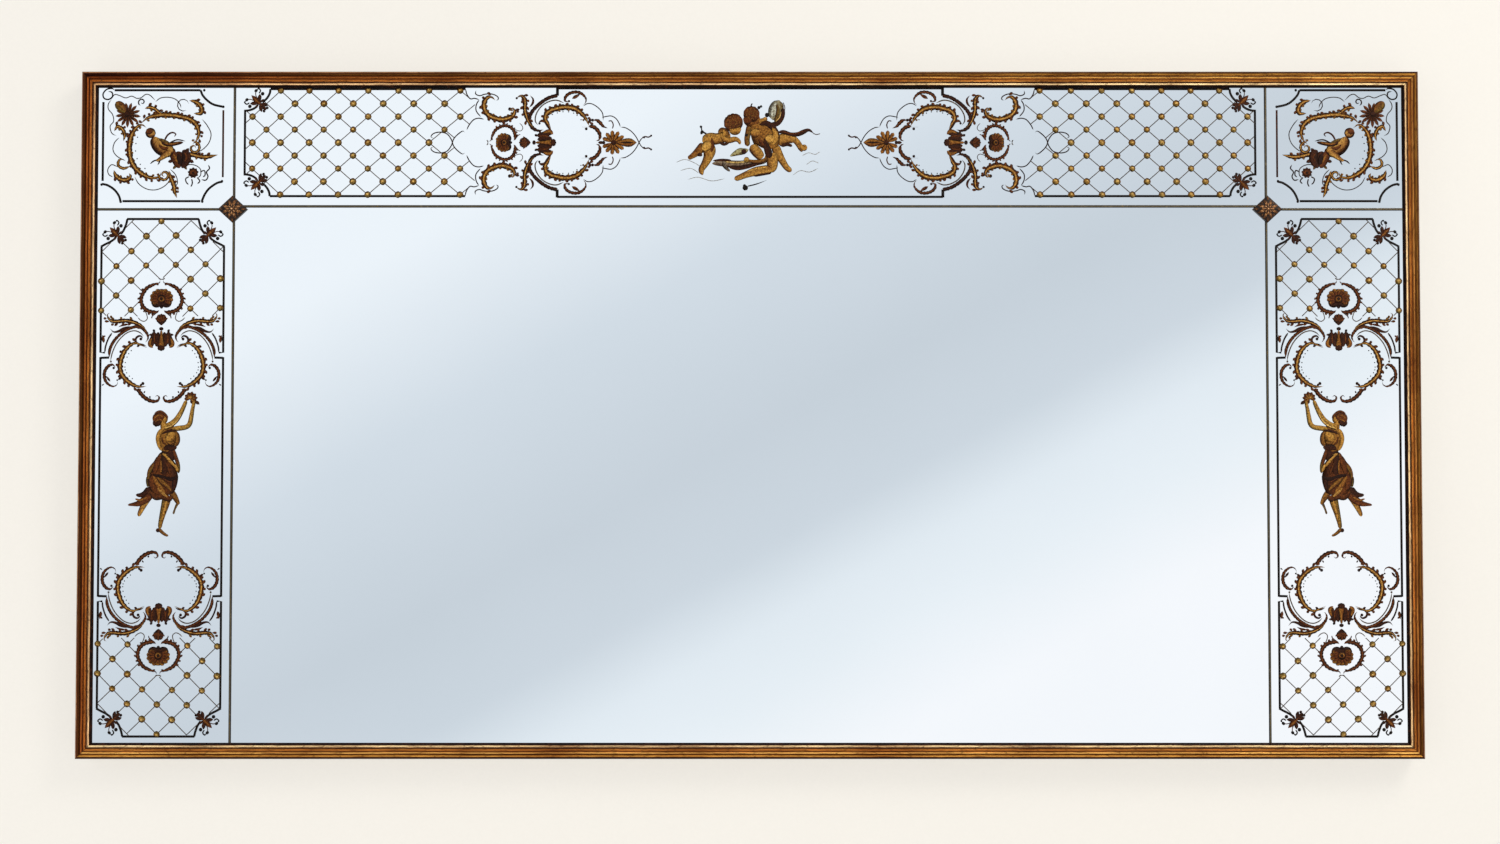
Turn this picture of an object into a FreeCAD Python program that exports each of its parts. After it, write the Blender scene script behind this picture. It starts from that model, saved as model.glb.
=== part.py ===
import FreeCAD, Part
import math
import os

# Overmantel trumeau mirror: six mirrored panes held by a reeded giltwood moulding and slender metal
# glazing beads, in front of a framed and panelled pine backing that hangs from two ring hangers.
# Millimetres. X runs to the right of a person facing the glass, Z up and Y towards the wall.
# The origin is the centre of the outline, on the wall plane that the back pads touch.

V = FreeCAD.Vector
ORIGIN = V(0, 0, 0)
AXIS_X = V(1, 0, 0)
AXIS_Y = V(0, 1, 0)
AXIS_Z = V(0, 0, 1)

# Overall outline, outside edges of the moulding
overall_width = 1800.0
overall_height = 922.0

# Depth, from the wall forwards
pad_thickness = 8.0
backing_thickness = 22.0
pane_thickness = 5.0

# Moulding section, from its outside edge inwards; a rise is measured from the front of the glass
torus_radius = 2.2
torus_rise = 6.0
quirk_width = 1.2
reed_count = 4
reed_radius = 1.55
reed_gap = 0.2
reed_rise = 5.4
reed_step = 0.5
sight_slope_width = 2.2
sight_slope_rise = 3.4
sight_edge = 0.6
lip_lap = 7.0

# Keys let into the outside corners of the mitres
key_leg = 16.0
key_thickness = 2.0
key_setbacks = (7.0, 17.0)

# Glass layout: visible size of the side and top panes, and how far the side beads sit lower
side_sight_width = 183.7
top_sight_height = 160.7
side_bead_drop = 4.0
pane_edge_clearance = 2.0
pane_bead_clearance = 0.25

# Glazing beads, a T section with its web between the panes
bead_cap_width = 3.4
bead_cap_thickness = 1.6
bead_cap_side = 0.5
bead_web = 2.0
bead_joint_gap = 0.2
pin_radius = 0.5
pin_head_radius = 1.1
pin_head_height = 0.5
pin_grip = 12.0
pin_spacing = 170.0
pin_end = 26.0

# Diamond bosses where the beads meet, each on a stud that runs through the backing
boss_shift_x = 1.5
boss_half_width = 20.0
boss_half_height = 18.5
boss_rim = 2.6
boss_bevel = 1.9
boss_top_share = 0.72
boss_leaf_share = 0.78
boss_leaf_radius = 3.4
boss_leaf_rise = 2.2
boss_bud_radius = 4.2
boss_bud_rise = 0.6
boss_channel_clearance = 0.2
stud_radius = 2.0
stud_clearance = 0.3
stud_bite = 2.2
stud_tail = 1.2
pane_notch_radius = 4.5
bead_stop = 3.0
washer_radius = 6.0
washer_thickness = 0.8
nut_across_flats = 7.0
nut_thickness = 3.2

# Backing: stiles, rails and muntins with stub tenons, and panels held in grooves
member_width = 60.0
backing_clearance = 0.5
inner_muntins = 2
groove_depth = 8.0
tongue_thickness = 6.0
tongue_setback = 10.0
panel_clearance = 1.0
tenon_length = 22.0
tenon_clearance = 0.5
peg_across_flats = 6.0
peg_spread = 24.0

# Setting blocks under the lower panes
block_length = 40.0
block_inset = 90.0
side_block_inset = 45.0

# Plates that tie the moulding to the backing
plate_width = 16.0
plate_length = 34.0
plate_thickness = 1.5
plate_setback = 1.5
plate_screw_inset = 6.0
plate_end = 250.0
plate_spacing = 400.0
wood_screw_radius = 1.5
wood_screw_head_radius = 3.0
wood_screw_length = 13.0

# Ring hangers
ring_wire_radius = 2.0
ring_bar_half = 10.0
ring_corner_radius = 5.0
ring_drop = 111.0
knuckle_clearance = 0.3
knuckle_wrap = 300.0
strap_thickness = 1.5
strap_width = 18.0
strap_length = 53.0
strap_screw_drops = (29.0, 44.0)
strap_screw_radius = 1.75
strap_screw_head_radius = 3.4
strap_screw_head_height = 2.2
strap_screw_length = 14.0

# Wall pads
pad_radius = 15.0
pad_edge_round = 1.0

# Facets of small round pieces
screw_sides = 6
stud_sides = 8
wire_sides = 8
pin_head_sides = 6
pin_shank_sides = 4
peg_sides = 4
washer_sides = 8
pad_sides = 12
corner_steps = 3
bow_steps = 6

# Planes and lines that follow from the sizes above
half_width = overall_width / 2
half_height = overall_height / 2
back_y = -pad_thickness
glass_back_y = back_y - backing_thickness
glass_front_y = glass_back_y - pane_thickness
reed_pitch = 2 * reed_radius + reed_gap
moulding_face = (2 * torus_radius + quirk_width + reed_count * reed_pitch - reed_gap
                 + sight_slope_width)
rebate = moulding_face - lip_lap
sight_x = half_width - moulding_face
sight_z = half_height - moulding_face
bead_line_x = sight_x - side_sight_width
centre_bead_z = sight_z - top_sight_height
side_bead_z = centre_bead_z - side_bead_drop
rebate_x = half_width - rebate
rebate_z = half_height - rebate
pane_x = rebate_x - pane_edge_clearance
pane_z = rebate_z - pane_edge_clearance
backing_x = rebate_x - backing_clearance
backing_z = rebate_z - backing_clearance
stile_inner_x = backing_x - member_width
rail_inner_z = backing_z - member_width
stile_centre_x = backing_x - member_width / 2
cross_rail_z = (centre_bead_z + side_bead_z) / 2
cross_low_z = cross_rail_z - member_width / 2
cross_high_z = cross_rail_z + member_width / 2
boss_x = bead_line_x + boss_shift_x
boss_z = side_bead_z
tongue_back_y = back_y - tongue_setback
tongue_front_y = tongue_back_y - tongue_thickness
knuckle_inner_radius = ring_wire_radius + knuckle_clearance
knuckle_outer_radius = knuckle_inner_radius + strap_thickness
ring_axis_y = back_y + knuckle_outer_radius
ring_axis_z = half_height - ring_drop


def block(x0, x1, y0, y1, z0, z1):
    """A box between two corners given in any order."""
    low = V(min(x0, x1), min(y0, y1), min(z0, z1))
    return Part.makeBox(abs(x1 - x0), abs(y1 - y0), abs(z1 - z0), low)


def facet(points):
    """A flat face through its corners."""
    return Part.Face(Part.makePolygon(points + points[:1]))


def prism(points, travel):
    """A flat polygon of points carried along a vector."""
    return facet(points).extrude(travel)


def mirrored(shape):
    """The same shape on the other side of the centre line."""
    return shape.mirror(ORIGIN, AXIS_X)


def pair(shape):
    return [shape, mirrored(shape)]


def near(a, b):
    return a.BoundBox.intersect(b.BoundBox)


def cut_by(shape, cutters):
    """The shape less those cutters whose boxes reach it."""
    reached = [cutter for cutter in cutters if near(shape, cutter)]
    return shape.cut(reached) if reached else shape


def closed_solid(faces):
    """The solid inside a closed set of faces, turned so that they face outwards."""
    solid = Part.Solid(Part.Shell(faces))
    if solid.Volume < 0:
        solid.reverse()
    return solid


def skin(sections):
    """A solid in flat facets through sections that have equally many corners."""
    faces = [facet(sections[0]), facet(sections[-1])]
    for near_end, far_end in zip(sections, sections[1:]):
        for i in range(len(near_end)):
            faces.append(facet([near_end[i - 1], near_end[i], far_end[i], far_end[i - 1]]))
    return closed_solid(faces)


def even_polygon(sides, radius, x, y, z):
    """The corners of a regular polygon in a plane y = constant."""
    angles = [2 * math.pi * (i + 0.5) / sides for i in range(sides)]
    return [V(x + radius * math.cos(a), y, z + radius * math.sin(a)) for a in angles]


def stepped(profile, x, z, sides=stud_sides):
    """A small turned piece along Y in flat facets, through (radius, y) stations."""
    return skin([even_polygon(sides, radius, x, y, z) for radius, y in profile])


def even_prism(sides, across_flats, x, z, y0, y1):
    """A regular prism along Y, such as a nut or a square peg."""
    radius = across_flats / 2 / math.cos(math.pi / sides)
    return stepped([(radius, y0), (radius, y1)], x, z, sides)


def spaced(start, end, inset, spacing):
    """Evenly spaced places between two ends, inset from both."""
    first = start + inset
    run = end - inset - first
    count = max(1, round(run / spacing))
    return [first + run * i / count for i in range(count + 1)]


# ---- moulding ----

def moulding_section():
    """The closed section of the top moulding in the plane x = 0, its outside edge at z = 0.

    From outside in: a side face, a half-round torus, a quirk, a row of reeds that step down
    towards the glass, a sloped sight edge, then the lip and the rebate behind it.
    """
    def at(inset, rise):
        return V(0, glass_front_y - rise, -inset)

    edges = []
    torus_end = 2 * torus_radius
    edges.append(Part.makeLine(V(0, back_y, 0), at(0, torus_rise)))
    crown = at(torus_radius, torus_rise + torus_radius)
    edges.append(Part.Arc(at(0, torus_rise), crown, at(torus_end, torus_rise)).toShape())
    last = at(torus_end, torus_rise)
    start = torus_end + quirk_width
    edges.append(Part.makeLine(last, at(torus_end, reed_rise)))
    last = at(torus_end, reed_rise)
    for i in range(reed_count):
        low = reed_rise - i * reed_step
        begin = start + i * reed_pitch
        end = begin + 2 * reed_radius
        crown = at(begin + reed_radius, low + reed_radius)
        edges.append(Part.makeLine(last, at(begin, low)))
        edges.append(Part.Arc(at(begin, low), crown, at(end, low)).toShape())
        last = at(end, low)
    corners = [last,
               at(moulding_face - sight_slope_width, sight_slope_rise),
               at(moulding_face, sight_edge),
               at(moulding_face, 0),
               at(rebate, 0),
               V(0, back_y, -rebate),
               V(0, back_y, 0)]
    for begin, end in zip(corners, corners[1:]):
        edges.append(Part.makeLine(begin, end))
    return Part.Face(Part.Wire(edges))


def corner_keys(x, z):
    """Thin triangular keys across the outside corner (x, z) of a mitre."""
    leg_x = math.copysign(key_leg, x)
    leg_z = math.copysign(key_leg, z)
    keys = []
    for setback in key_setbacks:
        y = back_y - setback
        points = [V(x, y, z), V(x - leg_x, y, z), V(x, y, z - leg_z)]
        keys.append(prism(points, V(0, -key_thickness, 0)))
    return keys


def moulding(length):
    """One mitred length, its outside edge along z = 0 and centred on x = 0."""
    solid = moulding_section().extrude(V(length, 0, 0))
    solid.translate(V(-length / 2, 0, 0))
    front = glass_front_y - torus_rise - 2 * torus_radius
    inside = length / 2 - moulding_face
    outline = [V(-length / 2, front, 0), V(length / 2, front, 0),
               V(inside, front, -moulding_face), V(-inside, front, -moulding_face)]
    return solid.common(prism(outline, V(0, -front, 0)))


def place_moulding(length, turn, x, z):
    solid = moulding(length)
    solid.rotate(ORIGIN, AXIS_Y, turn)
    solid.translate(V(x, 0, z))
    return solid


# ---- screws and pins ----

def countersunk_screw(x, z, face_y):
    """A countersunk wood screw driven from the back, its head flush with face_y."""
    cone = wood_screw_head_radius - wood_screw_radius
    return stepped([(wood_screw_head_radius, face_y), (wood_screw_radius, face_y - cone),
                    (wood_screw_radius, face_y - wood_screw_length)], x, z, screw_sides)


def strap_screw(x, z, face_y):
    """A domed-head screw through a hanger strap whose outer face is face_y."""
    crown = face_y + strap_screw_head_height
    head = stepped([(strap_screw_head_radius * 0.6, crown), (strap_screw_head_radius, face_y)],
                   x, z, screw_sides)
    shank = stepped([(strap_screw_radius, face_y),
                     (strap_screw_radius, face_y - strap_screw_length)], x, z, screw_sides)
    return head.fuse(shank).removeSplitter()


def bead_pin(x, z):
    """A round-headed pin driven through a bead into the wood behind the glass."""
    crown = glass_front_y - bead_cap_thickness
    tip = glass_back_y + pin_grip
    head = stepped([(pin_head_radius * 0.5, crown - pin_head_height), (pin_head_radius, crown)],
                   x, z, pin_head_sides)
    shank = stepped([(pin_radius, crown), (pin_radius, tip)], x, z, pin_shank_sides)
    return head.fuse(shank).removeSplitter()


# ---- glazing beads ----

def bead(cap_start, cap_end, web_start, web_end):
    """A T-section bead along X, its line on z = 0: a rounded cap in front and a web behind."""
    side_y = glass_front_y - bead_cap_side
    half = bead_cap_width / 2
    base_left = V(cap_start, glass_front_y, -half)
    side_left = V(cap_start, side_y, -half)
    crown = V(cap_start, glass_front_y - bead_cap_thickness, 0)
    side_right = V(cap_start, side_y, half)
    base_right = V(cap_start, glass_front_y, half)
    edges = [Part.makeLine(base_left, side_left),
             Part.Arc(side_left, crown, side_right).toShape(),
             Part.makeLine(side_right, base_right),
             Part.makeLine(base_right, base_left)]
    cap = Part.Face(Part.Wire(edges)).extrude(V(cap_end - cap_start, 0, 0))
    web = block(web_start, web_end, glass_front_y, glass_back_y, -bead_web / 2, bead_web / 2)
    return cap.fuse(web).removeSplitter()


def upright_bead(start, end, web_start, web_end):
    solid = bead(start, end, web_start, web_end)
    solid.rotate(ORIGIN, AXIS_Y, -90)
    solid.translate(V(bead_line_x, 0, 0))
    return solid


def level_bead(start, end, web_start, web_end, z):
    solid = bead(start, end, web_start, web_end)
    solid.translate(V(0, 0, z))
    return solid


bead_side = bead_line_x - bead_web / 2 - bead_joint_gap
cap_side = bead_line_x - bead_cap_width / 2 - bead_joint_gap
low_end = boss_z - bead_stop
high_start = max(boss_z + bead_stop, centre_bead_z)
side_start = boss_x + bead_stop

bead_lower = upright_bead(-sight_z, low_end, -pane_z, low_end)
bead_upper = upright_bead(high_start, sight_z, high_start, pane_z)
bead_centre = level_bead(-cap_side, cap_side, -bead_side, bead_side, centre_bead_z)
bead_side_right = level_bead(side_start, sight_x, side_start, pane_x, side_bead_z)

pins_right = []
for z in spaced(-sight_z, low_end, pin_end, pin_spacing):
    pins_right.append(bead_pin(bead_line_x, z))
for z in spaced(high_start, sight_z, pin_end, pin_spacing):
    pins_right.append(bead_pin(bead_line_x, z))
for x in spaced(side_start, sight_x, pin_end, pin_spacing):
    pins_right.append(bead_pin(x, side_bead_z))
pins = []
for pin in pins_right:
    pins += pair(pin)
for x in spaced(-bead_line_x, bead_line_x, pin_end, pin_spacing):
    pins.append(bead_pin(x, centre_bead_z))


# ---- bosses ----

def diamond(share, y):
    width = boss_half_width * share
    height = boss_half_height * share
    return [V(width, y, 0), V(0, y, height), V(-width, y, 0), V(0, y, -height)]


def leaf(reach, angle):
    """A pointed, ridged leaf that lies along a ray from the boss's centre."""
    top_y = glass_front_y - boss_rim - boss_bevel
    belly = reach * 0.45
    root = [V(0, top_y, 0), V(belly, top_y, boss_leaf_radius), V(reach, top_y, 0),
            V(belly, top_y, -boss_leaf_radius)]
    ridge = V(belly, top_y - boss_leaf_rise, 0)
    faces = [facet(root)]
    for begin, end in zip(root, root[1:] + root[:1]):
        faces.append(facet([begin, end, ridge]))
    solid = closed_solid(faces)
    solid.rotate(ORIGIN, AXIS_Y, angle)
    return solid


def boss():
    """A bevelled diamond with four leaves round a bud, channelled behind to sit over the beads."""
    rim_y = glass_front_y - boss_rim
    top_y = rim_y - boss_bevel
    rim = facet(diamond(1, glass_front_y)).extrude(V(0, -boss_rim, 0))
    bevel = skin([diamond(1, rim_y), diamond(boss_top_share, top_y)])
    leaves = []
    for i in range(4):
        half_axis = boss_half_width if i % 2 == 0 else boss_half_height
        leaves.append(leaf(half_axis * boss_leaf_share, 90 * i))
    bud = stepped([(boss_bud_radius, top_y),
                   (boss_bud_radius / 2, top_y - boss_leaf_rise - boss_bud_rise)], 0, 0)
    solid = rim.fuse([bevel, bud] + leaves).removeSplitter()
    solid.translate(V(boss_x, 0, boss_z))
    half = bead_cap_width / 2 + boss_channel_clearance
    deep = glass_front_y - bead_cap_thickness - boss_channel_clearance
    left, right = boss_x - boss_half_width, boss_x + boss_half_width
    low, high = boss_z - boss_half_height, boss_z + boss_half_height
    channels = [block(bead_line_x - half, bead_line_x + half, glass_front_y, deep, low, high),
                block(left, bead_line_x, glass_front_y, deep, centre_bead_z - half,
                      centre_bead_z + half),
                block(bead_line_x, right, glass_front_y, deep, side_bead_z - half,
                      side_bead_z + half)]
    bore = stepped([(stud_radius, glass_front_y),
                    (stud_radius, glass_front_y - bead_cap_thickness - stud_bite)],
                   boss_x, boss_z)
    return solid.cut(channels + [bore])


stud_front_y = glass_front_y - bead_cap_thickness - stud_bite
washer_y = back_y + washer_thickness
nut_y = washer_y + nut_thickness
stud_right = stepped([(stud_radius, stud_front_y), (stud_radius, nut_y + stud_tail)],
                     boss_x, boss_z)
stud_hole_radius = stud_radius + stud_clearance
stud_hole = stepped([(stud_hole_radius, glass_back_y), (stud_hole_radius, back_y)],
                    boss_x, boss_z)
washer_right = stepped([(washer_radius, back_y), (washer_radius, washer_y)], boss_x, boss_z,
                       washer_sides).cut(stud_right)
nut_right = even_prism(6, nut_across_flats, boss_x, boss_z, washer_y, nut_y).cut(stud_right)
boss_right = boss()


# ---- panes ----

def pane(x0, x1, z0, z1):
    """A pane with its corners nibbled away where a boss's stud passes."""
    notches = pair(stepped([(pane_notch_radius, glass_front_y),
                            (pane_notch_radius, glass_back_y)], boss_x, boss_z))
    return cut_by(block(x0, x1, glass_front_y, glass_back_y, z0, z1), notches)


web_side = bead_web / 2 + pane_bead_clearance
inner_x = bead_line_x - web_side
outer_x = bead_line_x + web_side
web_top = bead_web / 2
panes = {
    "pane_centre": pane(-inner_x, inner_x, -pane_z, centre_bead_z - web_side),
    "pane_top": pane(-inner_x, inner_x, centre_bead_z + web_top, pane_z),
    "pane_right": pane(outer_x, pane_x, -pane_z, side_bead_z - web_side),
    "pane_corner_right": pane(outer_x, pane_x, side_bead_z + web_top, pane_z),
}
panes["pane_left"] = mirrored(panes["pane_right"])
panes["pane_corner_left"] = mirrored(panes["pane_corner_right"])


def setting_block(x):
    return block(x - block_length / 2, x + block_length / 2, glass_front_y, glass_back_y,
                 -rebate_z, -pane_z)


block_places = (inner_x - block_inset, outer_x + side_block_inset, pane_x - side_block_inset)
setting_blocks = []
for x in block_places:
    setting_blocks += pair(setting_block(x))

# ---- backing ----

muntin_gaps = inner_muntins + 1
member_lines_x = [bead_line_x * (2 * i / muntin_gaps - 1) for i in range(muntin_gaps + 1)]
half_member = member_width / 2
bay_edges_x = [-stile_inner_x]
for x in member_lines_x:
    bay_edges_x += [x - half_member, x + half_member]
bay_edges_x.append(stile_inner_x)
bays_x = list(zip(bay_edges_x[0::2], bay_edges_x[1::2]))
rows_z = {"lower": (-rail_inner_z, cross_low_z), "upper": (cross_high_z, rail_inner_z)}


def backing_board(x0, x1, z0, z1):
    return block(x0, x1, glass_back_y, back_y, z0, z1)


def tongue_box(x0, x1, z0, z1):
    return block(x0, x1, tongue_front_y, tongue_back_y, z0, z1)


def peg(x, z):
    return even_prism(peg_sides, peg_across_flats, x, z, glass_back_y, back_y)


tenon_half = half_member - groove_depth
members = {"backing_stile_left": backing_board(-backing_x, -stile_inner_x, -backing_z, backing_z),
           "backing_stile_right": backing_board(stile_inner_x, backing_x, -backing_z, backing_z)}
mortises = {}
pegs = []

rail_lines_z = {"backing_rail_bottom": -rail_inner_z - half_member,
                "backing_rail_cross": cross_rail_z,
                "backing_rail_top": rail_inner_z + half_member}
for name, z in rail_lines_z.items():
    rail = backing_board(-stile_inner_x, stile_inner_x, z - half_member, z + half_member)
    end = stile_inner_x + tenon_length
    tenon = tongue_box(stile_inner_x, end, z - tenon_half, z + tenon_half)
    members[name] = rail.fuse(pair(tenon)).removeSplitter()
    hole = tongue_box(stile_inner_x, end + tenon_clearance, z - tenon_half, z + tenon_half)
    mortises[name] = pair(hole)
    for offset in (-peg_spread / 2, peg_spread / 2):
        pegs += pair(peg(stile_inner_x + tenon_length / 2, z + offset))

for row, (low, high) in rows_z.items():
    for number, x in enumerate(member_lines_x, start=1):
        board = backing_board(x - half_member, x + half_member, low, high)
        tenon = tongue_box(x - tenon_half, x + tenon_half, low - tenon_length, high + tenon_length)
        name = "muntin_%s_%d" % (row, number)
        members[name] = board.fuse(tenon).removeSplitter()
        mortises[name] = [tongue_box(x - tenon_half, x + tenon_half,
                                     low - tenon_length - tenon_clearance, low),
                          tongue_box(x - tenon_half, x + tenon_half, high,
                                     high + tenon_length + tenon_clearance)]
        for offset in (-peg_spread / 2, peg_spread / 2):
            pegs.append(peg(x + offset, low - tenon_length / 2))
            pegs.append(peg(x + offset, high + tenon_length / 2))

panels = {}
grooves = []
for row, (low, high) in rows_z.items():
    for number, (left, right) in enumerate(bays_x, start=1):
        grooves.append(tongue_box(left - groove_depth, right + groove_depth,
                                  low - groove_depth, high + groove_depth))
        reach = groove_depth - panel_clearance
        tongue = tongue_box(left - reach, right + reach, low - reach, high + reach)
        field = block(left, right, glass_back_y, tongue_back_y, low, high)
        panels["panel_%s_%d" % (row, number)] = field.fuse(tongue).removeSplitter()

# ---- plates that tie the moulding to the backing ----

plates = []
plate_screws = []


def tie_plate(x, z, toward_x, toward_z):
    """A plate on the back face, from the outside edge at (x, z) in the given inward direction."""
    face_y = back_y + plate_thickness
    side_x = abs(toward_z) * plate_width / 2
    side_z = abs(toward_x) * plate_width / 2
    start = plate_setback
    end = plate_setback + plate_length
    solid = block(x + toward_x * start - side_x, x + toward_x * end + side_x, back_y, face_y,
                  z + toward_z * start - side_z, z + toward_z * end + side_z)
    screws = []
    for inset in (start + plate_screw_inset, end - plate_screw_inset):
        screws.append(countersunk_screw(x + toward_x * inset, z + toward_z * inset, face_y))
    plates.append(solid.cut(screws))
    plate_screws.extend(screws)


for x in spaced(-half_width, half_width, plate_end, plate_spacing):
    tie_plate(x, half_height, 0, -1)
    tie_plate(x, -half_height, 0, 1)
for z in spaced(-half_height, half_height, plate_end, plate_spacing):
    tie_plate(half_width, z, -1, 0)
    tie_plate(-half_width, z, 1, 0)

# ---- ring hangers ----


def strap():
    """A metal strip that lies on the back and curls round the ring's bar at its upper end."""
    left = stile_centre_x - strap_width / 2
    end_angle = math.radians(knuckle_wrap)

    def curl(radius, angle):
        return V(left, ring_axis_y - radius * math.cos(angle),
                 ring_axis_z + radius * math.sin(angle))

    face_y = back_y + strap_thickness
    foot_z = ring_axis_z - strap_length
    foot_back = V(left, back_y, foot_z)
    foot_face = V(left, face_y, foot_z)
    outer = Part.Arc(curl(knuckle_outer_radius, 0), curl(knuckle_outer_radius, end_angle / 2),
                     curl(knuckle_outer_radius, end_angle)).toShape()
    inner = Part.Arc(curl(knuckle_inner_radius, end_angle),
                     curl(knuckle_inner_radius, end_angle / 2),
                     curl(knuckle_inner_radius, 0)).toShape()
    edges = [Part.makeLine(foot_back, curl(knuckle_outer_radius, 0)), outer,
             Part.makeLine(curl(knuckle_outer_radius, end_angle),
                           curl(knuckle_inner_radius, end_angle)), inner,
             Part.makeLine(curl(knuckle_inner_radius, 0), foot_face),
             Part.makeLine(foot_face, foot_back)]
    return Part.Face(Part.Wire(edges)).extrude(V(strap_width, 0, 0))


def ring():
    """A D-shaped wire ring: a bar in the knuckle, two rounded corners and a half-round bow."""
    def section(centre_x, bend_radius, turn):
        """The wire's section after a turn about (centre_x, -corner radius), as its corners."""
        across = V(math.sin(turn), 0, math.cos(turn))
        centre = V(centre_x, 0, -ring_corner_radius) + across * bend_radius
        points = []
        for i in range(wire_sides):
            angle = 2 * math.pi * (i + 0.5) / wire_sides
            points.append(centre + across * (ring_wire_radius * math.cos(angle))
                          + AXIS_Y * (ring_wire_radius * math.sin(angle)))
        return points

    bow_radius = ring_bar_half + ring_corner_radius
    quarter = math.pi / 2
    half_ring = [section(0, ring_corner_radius, 0)]
    for i in range(corner_steps + 1):
        half_ring.append(section(ring_bar_half, ring_corner_radius, quarter * i / corner_steps))
    for i in range(1, bow_steps + 1):
        half_ring.append(section(0, bow_radius, quarter + quarter * i / bow_steps))
    solid = skin(half_ring)
    solid = solid.fuse(mirrored(solid)).removeSplitter()
    solid.translate(V(stile_centre_x, ring_axis_y, ring_axis_z))
    return solid


strap_face_y = back_y + strap_thickness
hanger_screws_right = [strap_screw(stile_centre_x, ring_axis_z - drop, strap_face_y)
                       for drop in strap_screw_drops]
hanger_screws = []
for screw in hanger_screws_right:
    hanger_screws += pair(screw)
strap_right = strap().cut(hanger_screws_right)
ring_right = ring()

# ---- wall pads ----


def wall_pad(x, z):
    return stepped([(pad_radius, back_y), (pad_radius, -pad_edge_round),
                    (pad_radius - pad_edge_round, 0)], x, z, pad_sides)


pad_z = rail_inner_z + member_width / 2
wall_pads = pair(wall_pad(stile_centre_x, pad_z)) + pair(wall_pad(stile_centre_x, -pad_z))

# ---- every node ----

corners = [(x, z) for x in (-half_width, half_width) for z in (-half_height, half_height)]
keys = []
for x, z in corners:
    keys += corner_keys(x, z)

mouldings = {
    "moulding_top": place_moulding(overall_width, 0, 0, half_height),
    "moulding_right": place_moulding(overall_height, 90, half_width, 0),
    "moulding_bottom": place_moulding(overall_width, 180, 0, -half_height),
    "moulding_left": place_moulding(overall_height, -90, -half_width, 0),
}

fastenings = pins + plate_screws + hanger_screws + pegs + pair(stud_hole)
nodes = {}
for name, solid in mouldings.items():
    nodes[name] = cut_by(solid, keys + plate_screws)
for name, solid in members.items():
    others = [hole for owner, holes in mortises.items() if owner != name for hole in holes]
    nodes[name] = cut_by(solid, others + grooves + fastenings)
nodes.update(panels)
nodes.update(panes)
beads = {
    "bead_lower_right": bead_lower, "bead_lower_left": mirrored(bead_lower),
    "bead_upper_right": bead_upper, "bead_upper_left": mirrored(bead_upper),
    "bead_centre": bead_centre,
    "bead_side_right": bead_side_right, "bead_side_left": mirrored(bead_side_right),
}
for name, solid in beads.items():
    nodes[name] = cut_by(solid, pins)
nodes["boss_right"] = boss_right
nodes["boss_left"] = mirrored(boss_right)
nodes["hanger_strap_right"] = strap_right
nodes["hanger_strap_left"] = mirrored(strap_right)
nodes["hanger_ring_right"] = ring_right
nodes["hanger_ring_left"] = mirrored(ring_right)

groups = {
    "mitre_keys": keys,
    "bead_pins": pins,
    "boss_studs": pair(stud_right),
    "boss_washers": pair(washer_right),
    "boss_nuts": pair(nut_right),
    "tenon_pegs": pegs,
    "setting_blocks": setting_blocks,
    "tie_plates": plates,
    "tie_plate_screws": plate_screws,
    "hanger_screws": hanger_screws,
    "wall_pads": wall_pads,
}
for name, solids in groups.items():
    nodes[name] = Part.Compound(solids)

os.makedirs("parts", exist_ok=True)
for name, shape in nodes.items():
    if not shape.isValid():
        raise RuntimeError(name + " is not a valid shape")
    shape.exportStep(os.path.join("parts", name + ".step"))
    print(name, len(shape.Solids), round(shape.Volume, 1))
print(len(nodes), "nodes")
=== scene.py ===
"""Trumeau mirror: the visible surfaces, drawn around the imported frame.

A wide overmantel mirror: six mirrored panes with gilt and painted ornament, slim dark beads,
two diamond bosses and a reeded gilt moulding, on a panelled backing with ring hangers.
Lengths in the drawing functions are millimetres in the plane of the glass, x to the right and
z up from the middle of the mirror; meshes are in metres.
"""

import math

import bpy
import numpy as np
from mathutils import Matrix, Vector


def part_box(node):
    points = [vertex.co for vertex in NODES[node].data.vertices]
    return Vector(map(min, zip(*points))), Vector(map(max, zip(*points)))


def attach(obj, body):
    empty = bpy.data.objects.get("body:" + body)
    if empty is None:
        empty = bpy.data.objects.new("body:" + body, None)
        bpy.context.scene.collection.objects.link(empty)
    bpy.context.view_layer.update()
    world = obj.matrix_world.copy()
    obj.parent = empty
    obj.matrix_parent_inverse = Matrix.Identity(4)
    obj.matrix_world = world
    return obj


bl_info = {
    "name": "Trumeau mirror",
    "version": (1, 0, 0),
    "blender": (4, 5, 0),
    "location": "3D View > Sidebar > Mirror",
    "description": "Dresses the packed trumeau mirror with glass, gilding, bronze and pine",
    "category": "Object",
}

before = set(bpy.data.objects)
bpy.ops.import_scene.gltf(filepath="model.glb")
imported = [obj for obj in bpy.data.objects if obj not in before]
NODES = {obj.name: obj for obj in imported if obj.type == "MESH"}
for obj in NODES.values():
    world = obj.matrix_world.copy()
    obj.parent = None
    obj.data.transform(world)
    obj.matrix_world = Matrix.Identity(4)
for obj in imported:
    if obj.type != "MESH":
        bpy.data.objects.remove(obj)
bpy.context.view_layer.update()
MM = 0.001


def reach(node, axis, side=1):
    """Where a node's box ends along an axis, 0 for x, 1 for y, 2 for z, on its high or low side."""
    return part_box(node)[1 if side > 0 else 0][axis]


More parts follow.
